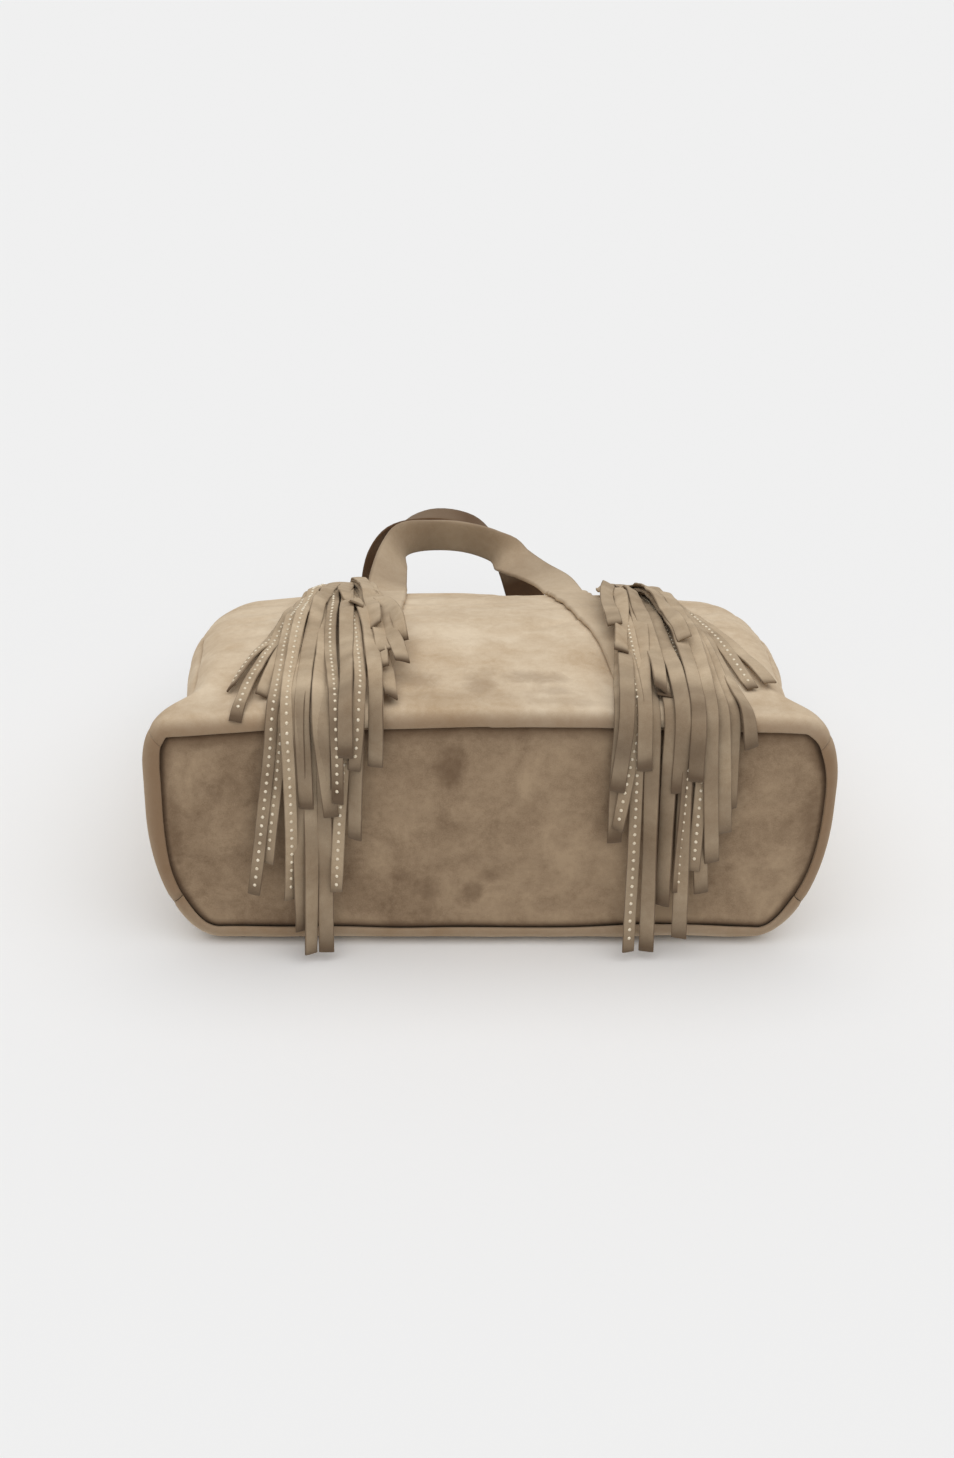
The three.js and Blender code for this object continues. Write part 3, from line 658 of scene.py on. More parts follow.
def sweepStrip(name, centres, acrosses, width, thickness, material, cup=0.0, slant=0.0):
    along, across, face = frameAlong(centres, acrosses)
    count = len(flatSection)
    vertices = []
    for j, centre in enumerate(centres):
        cut = slant if j == len(centres) - 1 else 0.0
        for c, h in flatSection:
            rise = h * thickness / 2 + cup * (1 - c * c)
            vertices.append(centre + across[j] * c * width / 2 + face[j] * rise + along[j] * cut * c)
    faces = []
    for j in range(len(centres) - 1):
        for i in range(count):
            a, b = j * count + i, j * count + (i + 1) % count
            faces.append((a, b, b + count, a + count))
    top = count // 2
    for start, turn in ((0, 1), ((len(centres) - 1) * count, -1)):
        for i in range(top):
            quad = (start + i, start + i + 1, start + (count - i - 1) % count, start + (count - i) % count)
            quad = tuple(dict.fromkeys(quad))
            if len(quad) > 2:
                faces.append(quad if turn < 0 else tuple(reversed(quad)))
    piece = newPiece(name, vertices, facingOut(vertices, faces), material)
    return piece, along, across, face


def curveThrough(points, count):
    points = np.asarray(points, float)
    ends = [2 * points[0] - points[1], *points, 2 * points[-1] - points[-2]]
    made = []
    for n in range(count + 1):
        t = n / count * (len(points) - 1)
        k = min(int(t), len(points) - 2)
        w = t - k
        p0, p1, p2, p3 = ends[k], ends[k + 1], ends[k + 2], ends[k + 3]
        d0, d1, d2 = [max(np.linalg.norm(b - a) ** 0.5, 1e-4) for a, b in ((p0, p1), (p1, p2), (p2, p3))]
        m1 = ((p1 - p0) / d0 - (p2 - p0) / (d0 + d1) + (p2 - p1) / d1) * d1
        m2 = ((p2 - p1) / d1 - (p3 - p1) / (d1 + d2) + (p3 - p2) / d2) * d1
        square = -3 * p1 + 3 * p2 - 2 * m1 - m2
        cube = 2 * p1 - 2 * p2 + m1 + m2
        made.append(p1 + m1 * w + square * w ** 2 + cube * w ** 3)
    return np.array(made)


# Straps: up a panel, round a handle and down again
straps = {"width": 28.0, "thickness": 3.0, "leftBase": 76.0, "rightBase": 88.0, "spread": 62.0, "cup": -0.3,
          "frontGripAndShade": 0.48, "backGripAndShade": 1.2, "gripPatches": 0.35, "gripEarly": 0.8, "gripRise": 2.2,
          "gripEdge": 0.22, "gripMost": 1.25,
          "frontLoop": [((-0.98, -15, 20), (0.9, 0, -0.4)), ((-0.92, 12, 25), (0.65, 0.1, -0.75)),
                        ((-0.81, 36, 28), (0.2, 0.2, -0.95)), ((-0.48, 47, 27), (0, 0.3, -0.95)),
                        ((-0.08, 48, 25), (0, 0.3, -0.95)), ((0.28, 42, 20), (-0.1, 0.2, -0.95)),
                        ((0.49, 30, 14), (-0.75, -0.5, -0.4)), ((0.69, 14, 13), (-0.9, -0.45, -0.15)),
                        ((0.89, -9, 15), (-1, -0.3, -0.1))],
          "backLoop": [((-1.04, 25, 1), (1, 0, 0)), ((-1.08, 46, 18), (1, 0, 0)),
                       ((-1.11, 58, 46), (1, 0.2, 0)), ((-1.06, 66, 72), (0.9, 0.5, -0.1)),
                       ((-0.88, 72, 93), (0.5, 0.9, -0.2)), ((-0.46, 77, 101), (0.1, 1, -0.1)),
                       ((0.03, 78, 95), (-0.1, 1, 0)), ((0.35, 74, 81), (-0.5, 0.8, 0)),
                       ((0.55, 68, 63), (-1, 0.3, 0)), ((0.68, 60, 41), (-1, 0, 0)),
                       ((0.82, 47, 18), (-1, 0, 0)), ((0.95, 25, 1), (-1, 0, 0))]}


def strapRoute(side, base):
    places = [(0.0, panelLeaves), (0.04, 200.0), (0.3, 140.0), (0.7, 100.0), (0.92, 50.0), (1.0, 0.0)]
    return [(side * blend(straps["spread"], base, part), s) for part, s in places]


def loopLine(start, loop, hem, finish):
    spread, mouth = straps["spread"], body["length"]
    points = [start[0]] + [np.array([p[0] * spread, mouth + p[1], hem + p[2]]) for p, a in loop]
    sides = [start[1]] + [unit(np.array(a, float)) for p, a in loop]
    count = 6 * (len(loop) + 1)
    centres = curveThrough(points + [finish[0]], count)[1:-1]
    return centres, unit(curveThrough(sides + [finish[1]], count)[1:-1])


def underLine(side, base):
    rim, reach = body["rim"], straps["thickness"] / 2 + 0.3
    points = []
    for y in np.linspace(rim + 4.0, body["length"], 60):
        x = side * blend(base, straps["spread"], easeStep(y, 20.0, 200.0))
        points.append([x, y, bottomHeight(y) - reach])
    return np.array(points), np.tile([1.0, 0.0, 0.0], (len(points), 1))


# Darker round the handle loop: dirt where hands hold it, together with painted shade on the loop's shaded
# faces, deepest on the back handle
def gripShade(piece, centres, freeFrom, freeTo, deepest):
    t = np.clip((np.arange(len(centres)) - freeFrom) / max(freeTo - freeFrom, 1), 0, 1)
    patchy = np.array([1 + straps["gripPatches"] * ripple(*p, (22, 22, 22), 2.9) for p in centres])
    shade = deepest * patchy * np.clip(np.sin(np.pi * t ** straps["gripEarly"]) * straps["gripRise"], 0, 1)
    edge = np.array([abs(c) > 0.95 for c, h in flatSection])
    shade = shade[:, None] + straps["gripEdge"] * edge[None, :]
    giveShade(piece, "gripAndShade", np.clip(shade, 0, straps["gripMost"]).ravel())


def makeStrap(name, parts, deepest):
    centres = np.concatenate([p[0] for p in parts])
    acrosses = np.concatenate([p[1] for p in parts])
    piece = sweepStrip(name, centres, acrosses, straps["width"], straps["thickness"], suedes["strapSuede"],
                       cup=straps["cup"])[0]
    free = len(parts[0][0])
    gripShade(piece, centres, free - 2, free + len(parts[1][0]) + 2, deepest)
    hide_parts(name)
    piece.name = name.replace("strap", "handle_strap")


lastRoll = nearestRow(0.0)
leftLaid = settle(strapRoute(-1, straps["leftBase"]), straps["width"], straps["thickness"], 0, lastRoll)
rightLaid = settle(strapRoute(1, straps["rightBase"]), straps["width"], straps["thickness"], 0, lastRoll)
leftLine = [part[::-1] for part in ribbonLine(leftLaid, straps["thickness"])]
rightLine = ribbonLine(rightLaid, straps["thickness"])
rightLine = (rightLine[0], -rightLine[1])
frontFree = loopLine((leftLine[0][-1], leftLine[1][-1]), straps["frontLoop"], topHeight(body["length"]),
                     (rightLine[0][0], rightLine[1][0]))
makeStrap("front_strap", [leftLine, frontFree, rightLine], straps["frontGripAndShade"])
underLeft = underLine(-1, straps["leftBase"])
underRight = underLine(1, straps["rightBase"])
underRight = (underRight[0][::-1], -underRight[1][::-1])
backFree = loopLine((underLeft[0][-1], underLeft[1][-1]), straps["backLoop"], bottomHeight(body["length"]),
                    (underRight[0][0], underRight[1][0]))
makeStrap("back_strap", [underLeft, backFree, underRight], straps["backGripAndShade"])

# Fringe: (place at the knot, x at the rim or None, end x, end s, studs, tip darkening of dirt and painted
# shadow, twist of the tip)
fringe = {"width": 8.0, "thickness": 1.3, "shown": 1.25, "knotFromMouth": 52.0, "knotLength": 26.0,
          "pitch": 9.4, "step": 3.0, "gather": 0.3, "gatherLength": 50.0, "dive": 0.75, "diveLength": 22.0,
          "studPitch": 5.6, "studRadius": 1.1, "studHeight": 0.8, "studFrom": 30.0, "studShort": 5.0,
          "cup": 0.35, "plainShare": 1.14, "studdedShare": 0.95, "sway": 5.5, "lift": 4.5, "turn": 1.0,
          "slant": 0.9, "tone": 0.1, "toneSpread": 0.42, "hangShade": 0.44, "streak": 0.25, "topShade": 0.04,
          "edgeShade": 0.4, "tipShade": 0.25}
leftFringe = [
    (0, None, -149, 32, True, 0.5, 35), (0, -144, -146, 4, True, 0.7, 40),
    (0, None, -132, 23, False, 0.6, -25), (1, -102.8, -104, -150, False, 0.3, 0),
    (1, -94.1, -95, -145, False, 0.5, 15), (1, -111.5, -110, -130, False, 0.2, 0),
    (2, -85.4, -88, -105, True, 0.1, 0), (2, -76.7, -79, -70, False, 0.4, 0),
    (0, -120.2, -131, -85, True, 0.1, 0), (0, -128.9, -140, -105, True, 0.1, 0),
    (0, -117, -120, -110, True, 0.1, 0), (1, -98.5, -94, -55, False, 0.4, 0),
    (1, -89.8, -89, -45, True, 0.6, 0), (1, -107.1, -104, -50, False, 0.4, 0),
    (2, -76.7, -79, -25, True, 0.3, 0), (3, None, -57, 13, False, 0.7, 0),
    (3, None, -62, 37, False, 0.7, 0), (3, None, -54, 42, False, 0.7, 0),
    (2, -68, -69, -25, False, 0.3, 0), (2, -83, -83, -15, False, 0.6, 0),
    (3, None, -62, 60, False, 0.7, 0), (3, None, -50, 77, False, 0.8, 25),
    (3, None, -69, 87, False, 0.6, 0), (2, None, -82, 114, False, 0.4, 0)]
rightFringe = [
    (3, None, 163, 42, False, 0.4, -15), (3, None, 153, 37, True, 0.3, 0),
    (3, 146, 150, -10, False, 0.0, -55), (3, 135.9, 138, -50, False, 0.2, 0),
    (2, 118.5, 126, -105, False, 0.3, 0), (1, 101.1, 100, -115, False, 0.3, 0),
    (0, 75, 74, -75, False, 0.6, 0), (3, 127.2, 135, -65, False, 0.2, 0),
    (0, 83.7, 83, -150, True, 0.2, 0), (1, 92.4, 93, -145, False, 0.3, 20),
    (2, 109.8, 111, -135, False, 0.2, 0), (2, 114, 114, -105, True, 0.2, 0),
    (2, 122.8, 118, -90, True, 0.0, 0), (0, 83.7, 75, -65, True, 0.3, 0),
    (0, 75, 73, -40, False, 0.3, 0), (3, 122.8, 130, -85, False, 0.3, 0),
    (1, None, 98, 13, False, 0.9, 0), (2, 116, 117, -30, False, 0.3, 0),
    (1, 107, 108, -40, False, 0.3, 0), (1, 88, 90, -25, False, 0.8, 0),
    (1, None, 93, 13, False, 0.9, 0), (2, None, 112, 70, False, 0.3, 0),
    (0, None, 80, 54, False, 0.9, 0), (0, None, 75, 88, False, 0.4, 0)]
# The shortest tabs, which lie flat on the others
knotS = body["length"] - fringe["knotFromMouth"] - body["rim"] + quarter
knotRow = nearestRow(knotS)


def addStuds(name, centres, across, face, along):
    f = fringe
    steps = np.concatenate([[0], np.cumsum(np.linalg.norm(np.diff(centres, axis=0), axis=1))])
    vertices, faces = [], []
    for d in np.arange(f["studFrom"], steps[-1] - f["studShort"], f["studPitch"]):
        at = np.array([np.interp(d, steps, centres[:, c]) for c in range(3)])
        j = int(np.argmin(np.abs(steps - d)))
        base = len(vertices)
        foot = at + face[j] * (f["shown"] / 2 + f["cup"] - 0.15)
        for radius, rise in ((1.0, 0.0), (0.95, 0.35), (0.6, 0.85)):
            for n in range(10):
                a = 2 * math.pi * n / 10
                rim = across[j] * math.cos(a) + along[j] * math.sin(a)
                vertices.append(foot + rim * f["studRadius"] * radius + face[j] * f["studHeight"] * rise)
        vertices.append(foot + face[j] * f["studHeight"])
        for ring in (0, 10):
            for n in range(10):
                m = (n + 1) % 10
                faces.append((base + ring + n, base + ring + m, base + ring + 10 + m, base + ring + 10 + n))
        for n in range(10):
            faces.append((base + 20 + n, base + 20 + (n + 1) % 10, base + 30))
        faces.append(tuple(base + n for n in reversed(range(10))))
    return newPiece(name, vertices, facingOut(vertices, faces), studMetal)


def finerLine(centres, acrosses, step):
    lengths = np.concatenate([[0], np.cumsum(np.linalg.norm(np.diff(centres, axis=0), axis=1))])
    at = np.linspace(0, lengths[-1], max(int(lengths[-1] / step), 12))
    pick = lambda rows: np.stack([np.interp(at, lengths, rows[:, c]) for c in range(3)], axis=1)
    points = pick(centres)
    for _ in range(2):
        points[1:-1] = (points[:-2] + 2 * points[1:-1] + points[2:]) / 4
    return points, unit(pick(acrosses))


def addStrand(side, number, knot, strand):
    f = fringe
    place, rimX, endX, endS, studded, grimeAndShade, twist = strand
    x = knot + (place - 1.5) * f["pitch"]
    route = [(x, knotS), (x, knotS - f["knotLength"])]
    if rimX is not None:
        route.append((rimX, quarter))
    route.append((endX, endS))
    ribbon = settle(route, f["width"], f["thickness"], knotRow, nearestRow(endS))
    centres, acrosses = finerLine(*ribbonLine(ribbon, f["thickness"]), f["step"])
    along, across, face = frameAlong(centres, acrosses)
    share = np.linspace(0, 1, len(centres))
    for j in range(len(centres)):  # tops gather at the knot and dip under the keeper
        gone = f["step"] * j
        centres[j, 0] += (knot - centres[j, 0]) * f["gather"] * (1 - easeStep(gone, 0.0, f["gatherLength"]))
        above = centres[j, 2] - panelTop(centres[j, 0], centres[j, 1])
        centres[j, 2] -= above * f["dive"] * (1 - easeStep(gone, 0.0, f["diveLength"]))
    seed = number * 3.7 + (50 if side == "left" else 0)
    for j, t in enumerate(share):
        tip = easeStep(t, 0.45, 1.0)
        turn = math.radians(twist) * tip
        turn += f["turn"] * noise.noise(Vector((t * 3.4, seed, 0.3))) * easeStep(t, 0.12, 0.4)
        acrosses[j] = across[j] * math.cos(turn) + face[j] * math.sin(turn)
        centres[j] += face[j] * (f["width"] / 2 * abs(math.sin(turn)) * 0.6)
        free = easeStep(t, 0.2, 0.6)
        centres[j] += across[j] * f["sway"] * noise.noise(Vector((t * 2.2, seed, 4.4))) * free
        centres[j] += face[j] * f["lift"] * abs(noise.noise(Vector((t * 2.6, seed, 8.2)))) * free
    name = f"{side}_strand_{number:02d}"
    width = f["width"] * (f["studdedShare"] if studded else f["plainShare"])
    piece, along, across, face = sweepStrip(name + "_strip", centres, acrosses, width, f["shown"],
                                            suedes["fringeSuede"], cup=f["cup"],
                                            slant=f["slant"] * noise.noise(Vector((seed, 1.5, 2.5))))
    # Strand colour: a random tone per strand, streaks and darker edges, painted shade where the strand hangs
    # below the rim, and dark tips that are partly cut edge and partly painted shadow
    edge = np.array([abs(c) for c, h in flatSection])
    tips = (f["tipShade"] + grimeAndShade) * np.clip((share - 0.95) / 0.05, 0, 1) ** 2
    tone = f["tone"] + f["toneSpread"] * noise.noise(Vector((seed * 1.3, 0.5, 6.5)))
    hanging = np.array([f["hangShade"] * (1 - easeStep(p[1], 0.0, 26.0)) for p in centres])
    streak = np.array([f["streak"] * ripple(*p, (9, 9, 24), 1.9) for p in centres])
    tintShare = (tone + hanging + streak + f["topShade"] * (1 - share) + tips)[:, None]
    tintShare = tintShare + f["edgeShade"] * (edge[None, :] > 0.95)
    giveShade(piece, "grimeAndShade", np.clip(tintShare, 0, 1).ravel())
    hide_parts(name)
    studs = []
    if studded:
        studs = [addStuds(name + "_studs", centres, across, face, along)]


# Keeper: a soft band over the strand tops, with its two feet sewn to the panel
keepers = {"width": 12.0, "thickness": 1.7, "foot": 5.5, "share": 0.6}


def addKeeper(side, firstRibbon, strapSide):
    g = laying["gap"]
    strands = laid[firstRibbon:]
    lowRow = nearestRow(knotS - keepers["width"] - laying["fine"])
    rows = [knotRow, knotRow + 1, lowRow - 1, lowRow]
    left = min(r["x"][k] - r["half"][k] for r in strands for k in rows)
    right = max(r["x"][k] + r["half"][k] for r in strands for k in rows)
    left, right = blend(left, right, 0.13), blend(left, right, 0.87)
    high = keepers["share"] * max(r["top"][k] for r in strands for k in rows)
    onStrap = straps["thickness"] + g
    lowLeft, lowRight = (g, onStrap) if strapSide == "right" else (onStrap, g)
    path = [(left - keepers["foot"], lowLeft + 1), (left - 4, lowLeft + 1.2), (left - 1.5, lowLeft + 3),
            (left, high - 3), (left + 4, high), (blend(left, right, 0.35), high + 1.2),
            (blend(left, right, 0.65), high + 1), (right - 4, high), (right, high - 3),
            (right + 1.5, lowRight + 3), (right + 4, lowRight + 1.2), (right + keepers["foot"], lowRight + 1)]
    line = curveThrough([(x, lift, 0.0) for x, lift in path], 70)
    top = rowsDown[knotRow + 1]
    upper = np.array([lay(x, top, lift) for x, lift, _ in line])
    lower = np.array([lay(x, top - keepers["width"], lift) for x, lift, _ in line])
    piece = sweepStrip(f"{side}_keeper_loop", (upper + lower) / 2, unit(lower - upper), keepers["width"],
                       keepers["thickness"], suedes["fringeSuede"])[0]
    giveShade(piece, "grimeAndShade", np.full(len(piece.data.vertices), 0.15))
    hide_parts(f"{side}_keeper")


tassels = [("left", -93.0, leftFringe, "right"), ("right", 101.0, rightFringe, "left")]
for side, knot, strands, strapSide in tassels:
    firstRibbon = len(laid)
    for number, strand in enumerate(strands, 1):
        addStrand(side, number, knot, strand)
    addKeeper(side, firstRibbon, strapSide)
print("fringe laid:", len(laid) - 2, "strands")

# Walls: each rolls in round the base and runs to the mouth, with its seam edges drawn in
walls = {"rollRows": 18, "panelRows": 112, "seamDraw": 1.7, "seamReach": 4.5, "hem": 11.0, "hemThick": 1.4,
         "rollShade": 1.1, "sideShade": 1.0, "sideRollShade": 0.4, "frontBaseward": 0.25, "sideBaseward": 0.8,
         "seamShade": 0.5}


def wallGrid(us):
    rim = body["rim"]
    rows = []
    for share in np.linspace(1, 0, walls["rollRows"])[:-1]:
        turns = [math.radians(share * rollTurn(u)) for u in us]
        places = [outline(u, rim, rim * (1 - math.cos(a))) for u, a in zip(us, turns)]
        rows.append([(x, rim * (1 - math.sin(a)), z) for (x, z), a in zip(places, turns)])
    for y in np.linspace(rim, body["length"], walls["panelRows"]):
        rows.append([(x, y, z) for x, z in (outline(u, y, 0.0) for u in us)])
    points = np.array(rows)
    normals = unit(np.cross(np.gradient(points, axis=1), np.gradient(points, axis=0)))
    middle = np.array([0.0, 0.0, 75.0])
    outward = (points - middle) * np.array([1.0, 0.0, 1.0])
    if np.sum(normals[walls["rollRows"] + 5:] * outward[walls["rollRows"] + 5:]) < 0:
        normals = -normals
    slack = np.array([[wallSlack(u, *p) for u, p in zip(us, row)] for row in points])
    return points + normals * slack[..., None], normals


def wallColumns(low, high, count):
    if low > high:  # over the front, from the right side to the left
        right = np.concatenate([np.linspace(low, 4, 16, endpoint=False), np.linspace(4, 5, 76)])
        return np.concatenate([right, -right[::-1][1:]])
    return np.linspace(low, high, count)


# Row of short stitches along a line on the suede
stitch = {"pitch": 5.2, "length": 3.4, "radius": 0.45, "fromMouth": 9.5}


def addStitches(name, line, normals):
    run = np.concatenate([[0], np.cumsum(np.linalg.norm(np.diff(line, axis=0), axis=1))])
    vertices, faces = [], []
    for d in np.arange(stitch["pitch"] / 2, run[-1], stitch["pitch"]):
        at = np.array([np.interp(d, run, line[:, c]) for c in range(3)])
        ahead = np.array([np.interp(d + 1, run, line[:, c]) for c in range(3)])
        out = unit(np.array([np.interp(d, run, normals[:, c]) for c in range(3)]))
        along = unit(ahead - at) if d + 1 < run[-1] else unit(line[-1] - line[-2])
        across = np.cross(out, along)
        base = len(vertices)
        for part, wide in ((-1, 0.35), (-0.7, 0.9), (0, 1), (0.7, 0.9), (1, 0.35)):
            middle = at + along * part * stitch["length"] / 2 + out * (0.25 - 0.35 * part ** 4)
            for n in range(6):
                a = 2 * math.pi * n / 6
                rim = across * math.cos(a) + out * math.sin(a)
                vertices.append(middle + rim * stitch["radius"] * wide)
        for ring in range(4):
            for n in range(6):
                a, b = base + ring * 6 + n, base + ring * 6 + (n + 1) % 6
                faces.append((a, b, b + 6, a + 6))
        faces.append(tuple(base + n for n in reversed(range(6))))
        faces.append(tuple(base + 24 + n for n in range(6)))
    piece = newPiece(name, vertices, facingOut(vertices, faces), sewingThread)


def addWall(name, node, us):
    points, normals = wallGrid(us)
    across = np.linalg.norm(np.diff(points, axis=1), axis=2)
    run = np.concatenate([np.zeros((len(points), 1)), np.cumsum(across, axis=1)], axis=1)
    nearest = np.minimum(run, run[:, -1:] - run)
    flush = np.array([[blend(0.25, 1.0, easeStep(p[1], 6.0, 40.0)) for p in row] for row in points])
    draw = walls["seamDraw"] * flush * np.clip(1 - nearest / walls["seamReach"], 0, 1) ** 2
    points = points - normals * draw[..., None]
    hemFrom = body["length"] - walls["hem"]
    hem = np.array([[walls["hemThick"] * easeStep(p[1], hemFrom, hemFrom + 2) for p in row]
                    for row in points])
    inner = points - normals * (body["suede"] + hem - 0.8 * (draw > 0.4))[..., None]
    vertices = np.concatenate([points.reshape(-1, 3), inner.reshape(-1, 3)])
    faces = facingOut(vertices, sheetFaces(points.shape[0], points.shape[1]))
    piece = newPiece(name, vertices, faces, suedes["panelSuede"])
    # Painted shade together with rim dirt: the roll darkens as it turns under towards the base, and the side
    # walls and their roll are darker still, as they face away from the light. The walls are also darker near
    # the base, more on the sides, and along the drawn-in seams.
    grimeAndShade = np.zeros(points.shape[:2])
    for j, row in enumerate(points):
        share = 1 - j / (walls["rollRows"] - 1)
        for i, p in enumerate(row):
            patchy = 0.75 + 0.5 * ripple(p[0], p[1], p[2], (26, 26, 26), 7.7)
            ofSide = easeStep(abs(us[i]), 1.1, 1.7) * (1 - easeStep(abs(us[i]), 3.3, 4.0))
            frontRoll = walls["rollShade"] * easeStep(share, 0.02, 0.8)
            sideRoll = walls["sideShade"] + walls["sideRollShade"] * easeStep(share, 0.0, 0.8)
            rolled = blend(frontRoll, sideRoll, ofSide)
            baseward = blend(walls["frontBaseward"], walls["sideBaseward"], ofSide)
            baseward = baseward * (1 - easeStep(p[1], 8.0, blend(45.0, 80.0, ofSide)))
            seam = walls["seamShade"] * max(0.0, draw[j, i] / walls["seamDraw"] - 0.3)
            grimeAndShade[j, i] = max(rolled if share > 0 else 0.0, baseward * patchy, seam)
    giveShade(piece, "grimeAndShade", np.concatenate([grimeAndShade.ravel(), grimeAndShade.ravel()]))
    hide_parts(node)
    hemRow = int(np.argmin(np.abs(points[:, points.shape[1] // 2, 1] - body["length"] + stitch["fromMouth"])))
    addStitches(node + "_hem_stitches", points[hemRow], normals[hemRow])


addWall("front_suede_panel", "front_panel", wallColumns(3.503, -3.503, 0))
addWall("back_suede_panel", "back_panel", wallColumns(-1.497, 1.497, 90))
addWall("right_suede_gusset", "right_gusset", wallColumns(1.503, 3.497, 44))
addWall("left_suede_gusset", "left_gusset", wallColumns(-3.497, -1.503, 44))
print("walls made")

# Base: a suede panel that dips under the rolled rim
basePanel = {"at": 2.3, "under": 1.2, "dip": 1.4, "topDip": 3.4, "dipReach": 5.0, "topRecess": 1.6,
             "columns": 170, "rows": 64, "wide": 1.3, "lines": 0.9, "puckers": 0.6, "seamShade": 7.0,
             "topSeamShade": 15.0}


def baseInset(u):
    return body["rim"] * (1 - math.cos(math.radians(rollTurn(u)))) - basePanel["under"]


def baseSlack(x, z):
    wide = basePanel["wide"] * ripple(x, 0, z, (85, 1, 50), 4.4)
    lines = basePanel["lines"] * ripple(x, 0, z, (60, 1, 11), 7.9)
    puckers = basePanel["puckers"] * ripple(x, 0, z, (14, 1, 24), 2.2)
    return wide + (lines + puckers) - basePanel["topRecess"] * easeStep(z, 110.0, 150.0)


def addPlate(name, node, at, thickness, insetAt, material, slack, dip, dipReach):
    shares = np.linspace(-1, 1, basePanel["columns"])
    lower = np.array([outline(2.5 * p, body["rim"], insetAt(2.5 * p)) for p in shares])
    ups = [math.copysign(5 - 2.5 * abs(p), p) for p in shares]
    upper = np.array([outline(u, body["rim"], insetAt(u)) for u in ups])
    grid = np.array([blend(lower, upper, r) for r in np.linspace(0, 1, basePanel["rows"])])
    edge = np.concatenate([lower, upper])
    rimward = np.min(np.linalg.norm(grid[:, :, None, :] - edge[None, None], axis=3), axis=2)
    front = np.zeros(grid.shape[:2] + (3,))
    front[..., 0], front[..., 2] = grid[..., 0], grid[..., 1]
    for j in range(grid.shape[0]):
        for i in range(grid.shape[1]):
            held = easeStep(rimward[j, i], 0.0, 18.0)
            deep = blend(dip[0], dip[1], easeStep(grid[j, i, 1], 100.0, 145.0))
            under = deep * (1 - easeStep(rimward[j, i], 0.0, dipReach))
            front[j, i, 1] = at + under - held * slack(grid[j, i, 0], grid[j, i, 1])
    back = front + np.array([0.0, thickness, 0.0])
    vertices = np.concatenate([front.reshape(-1, 3), back.reshape(-1, 3)])
    faces = facingOut(vertices, sheetFaces(*grid.shape[:2]))
    piece = newPiece(name, vertices, faces, material)
    # Painted shadow: the base darkens near its seam, broadest under the top roll, which overhangs it
    reaches = basePanel["seamShade"], basePanel["topSeamShade"]
    seamShadow = np.array([[1 - easeStep(d, 1.0, blend(*reaches, easeStep(p[1], 105.0, 145.0)))
                          for d, p in zip(*pair)] for pair in zip(rimward, grid)])
    giveShade(piece, "grimeAndShade", np.tile(seamShadow.ravel(), 2))
    shape = bmesh.new()
    shape.from_mesh(piece.data)
    bmesh.ops.remove_doubles(shape, verts=shape.verts, dist=2e-6)  # the grid closes up at its two ends
    shape.to_mesh(piece.data)
    shape.free()
    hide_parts(node)


addPlate("base_suede_panel", "base_panel", basePanel["at"], body["suede"], baseInset,
         suedes["baseSuedeShaded"],
         baseSlack, (basePanel["dip"], basePanel["topDip"]), basePanel["dipReach"])

lining = {"clear": 2.9, "thickness": 0.9, "floorAt": 10.0, "floorInset": 4.0, "from": 12.5, "to": 287.0,
          "rows": 60, "pucker": 0.8, "floorPucker": 0.5}


def floorSlack(x, z):
    return -lining["floorPucker"] * abs(ripple(x, 0, z, (50, 1, 40), 1.1))


addPlate("lining_floor_cloth", "lining_base", lining["floorAt"], lining["thickness"],
         lambda u: lining["floorInset"], liningCloth, floorSlack, (0.0, 0.0), 1.0)


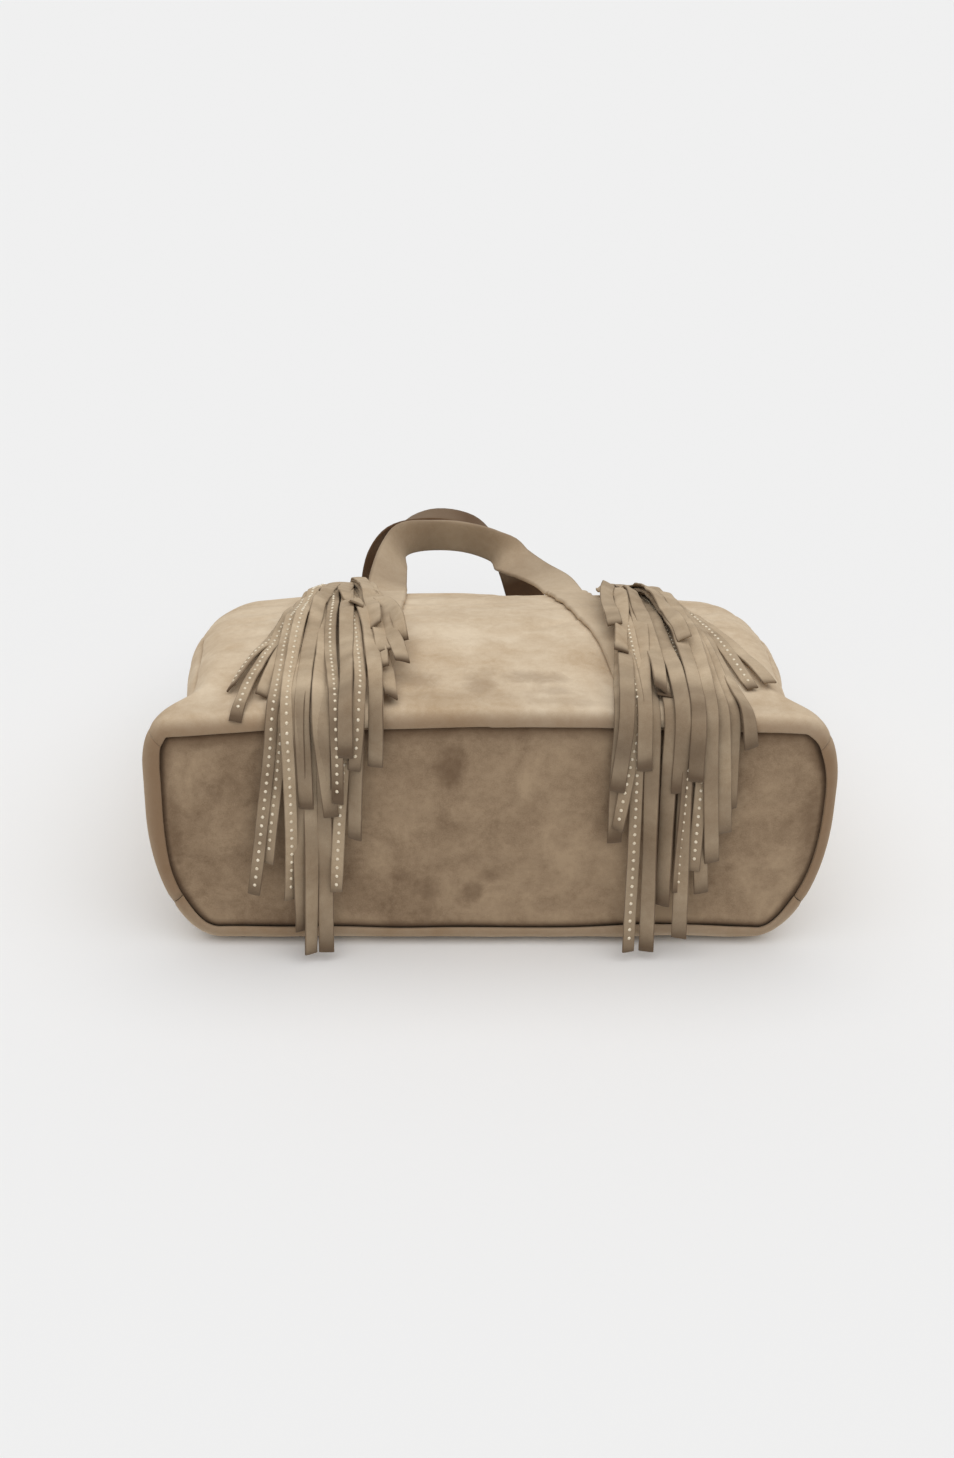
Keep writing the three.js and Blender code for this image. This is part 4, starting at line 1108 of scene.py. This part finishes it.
def addLining():
    us = np.concatenate([np.linspace(0, 5, 110, endpoint=False), np.linspace(-5, 0, 110, endpoint=False)])
    ys = np.linspace(lining["from"], lining["to"], lining["rows"])
    points = np.array([[[outline(u, y, 0)[0], y, outline(u, y, 0)[1]] for u in us] for y in ys])
    turned = np.concatenate([points[:, -1:], points, points[:, :1]], axis=1)
    normals = unit(np.cross(np.gradient(turned, axis=1)[:, 1:-1], np.gradient(points, axis=0)))
    if np.sum(normals * (points - np.array([0, 0, 75.0])) * np.array([1.0, 0.0, 1.0])) < 0:
        normals = -normals
    slack = np.array([[wallSlack(u, *p) for u, p in zip(us, row)] for row in points])
    pucker = np.array([[lining["pucker"] * abs(ripple(*p, (22, 60, 22), 3.3)) for p in row]
                       for row in points])
    outer = points + normals * (slack - lining["clear"] - pucker)[..., None]
    inner = outer - normals * lining["thickness"]
    vertices = np.concatenate([outer.reshape(-1, 3), inner.reshape(-1, 3)])
    faces = facingOut(vertices, sheetFaces(len(ys), len(us), ring=True))
    piece = newPiece("lining_sleeve_cloth", vertices, faces, liningCloth)
    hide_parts("lining_walls")


addLining()
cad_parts["base_board"].data.materials.clear()
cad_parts["base_board"].data.materials.append(boardPulp)
print("base and lining made")

# Floor and light: pale seamless floor, even sky and one soft lamp from above
stageLook = {"floor": (241, 241, 241), "floorSize": 40.0, "sky": 0.36, "sun": 2.05, "sunAngle": 95.0,
             "sunTurn": (15.0, 3.0, 0.0)}


def makeStage(look):
    material = bpy.data.materials.new("paleFloor")
    material.use_nodes = True
    shader = material.node_tree.nodes["Principled BSDF"]
    shader.inputs["Base Color"].default_value = paint(*look["floor"])
    shader.inputs["Roughness"].default_value = 1.0
    shader.inputs["Specular IOR Level"].default_value = 0.0
    half = look["floorSize"] / 2
    mesh = bpy.data.meshes.new("floor")
    corners = [(-half, -half, 0), (half, -half, 0), (half, half, 0), (-half, half, 0)]
    mesh.from_pydata(corners, [], [(0, 1, 2, 3)])
    mesh.materials.append(material)
    floor = bpy.data.objects.new("floor", mesh)
    bpy.context.scene.collection.objects.link(floor)
    world = bpy.data.worlds.new("studio")
    world.use_nodes = True
    tree = world.node_tree
    sky = tree.nodes["Background"]
    sky.inputs["Color"].default_value = (1.0, 1.0, 1.0, 1.0)
    seen = tree.nodes.new("ShaderNodeLightPath").outputs["Is Camera Ray"]
    pale = paint(*look["floor"])[0]
    strength = addMath(tree, "MULTIPLY_ADD", seen, pale - look["sky"], look["sky"])
    tree.links.new(strength, sky.inputs["Strength"])
    bpy.context.scene.world = world
    lamp = bpy.data.lights.new("softLamp", "SUN")
    lamp.energy = look["sun"]
    lamp.angle = math.radians(look["sunAngle"])
    holder = bpy.data.objects.new("softLamp", lamp)
    holder.rotation_euler = [math.radians(a) for a in look["sunTurn"]]
    bpy.context.scene.collection.objects.link(holder)
    bpy.context.scene.view_settings.view_transform = "Standard"


makeStage(stageLook)
print("stage set")
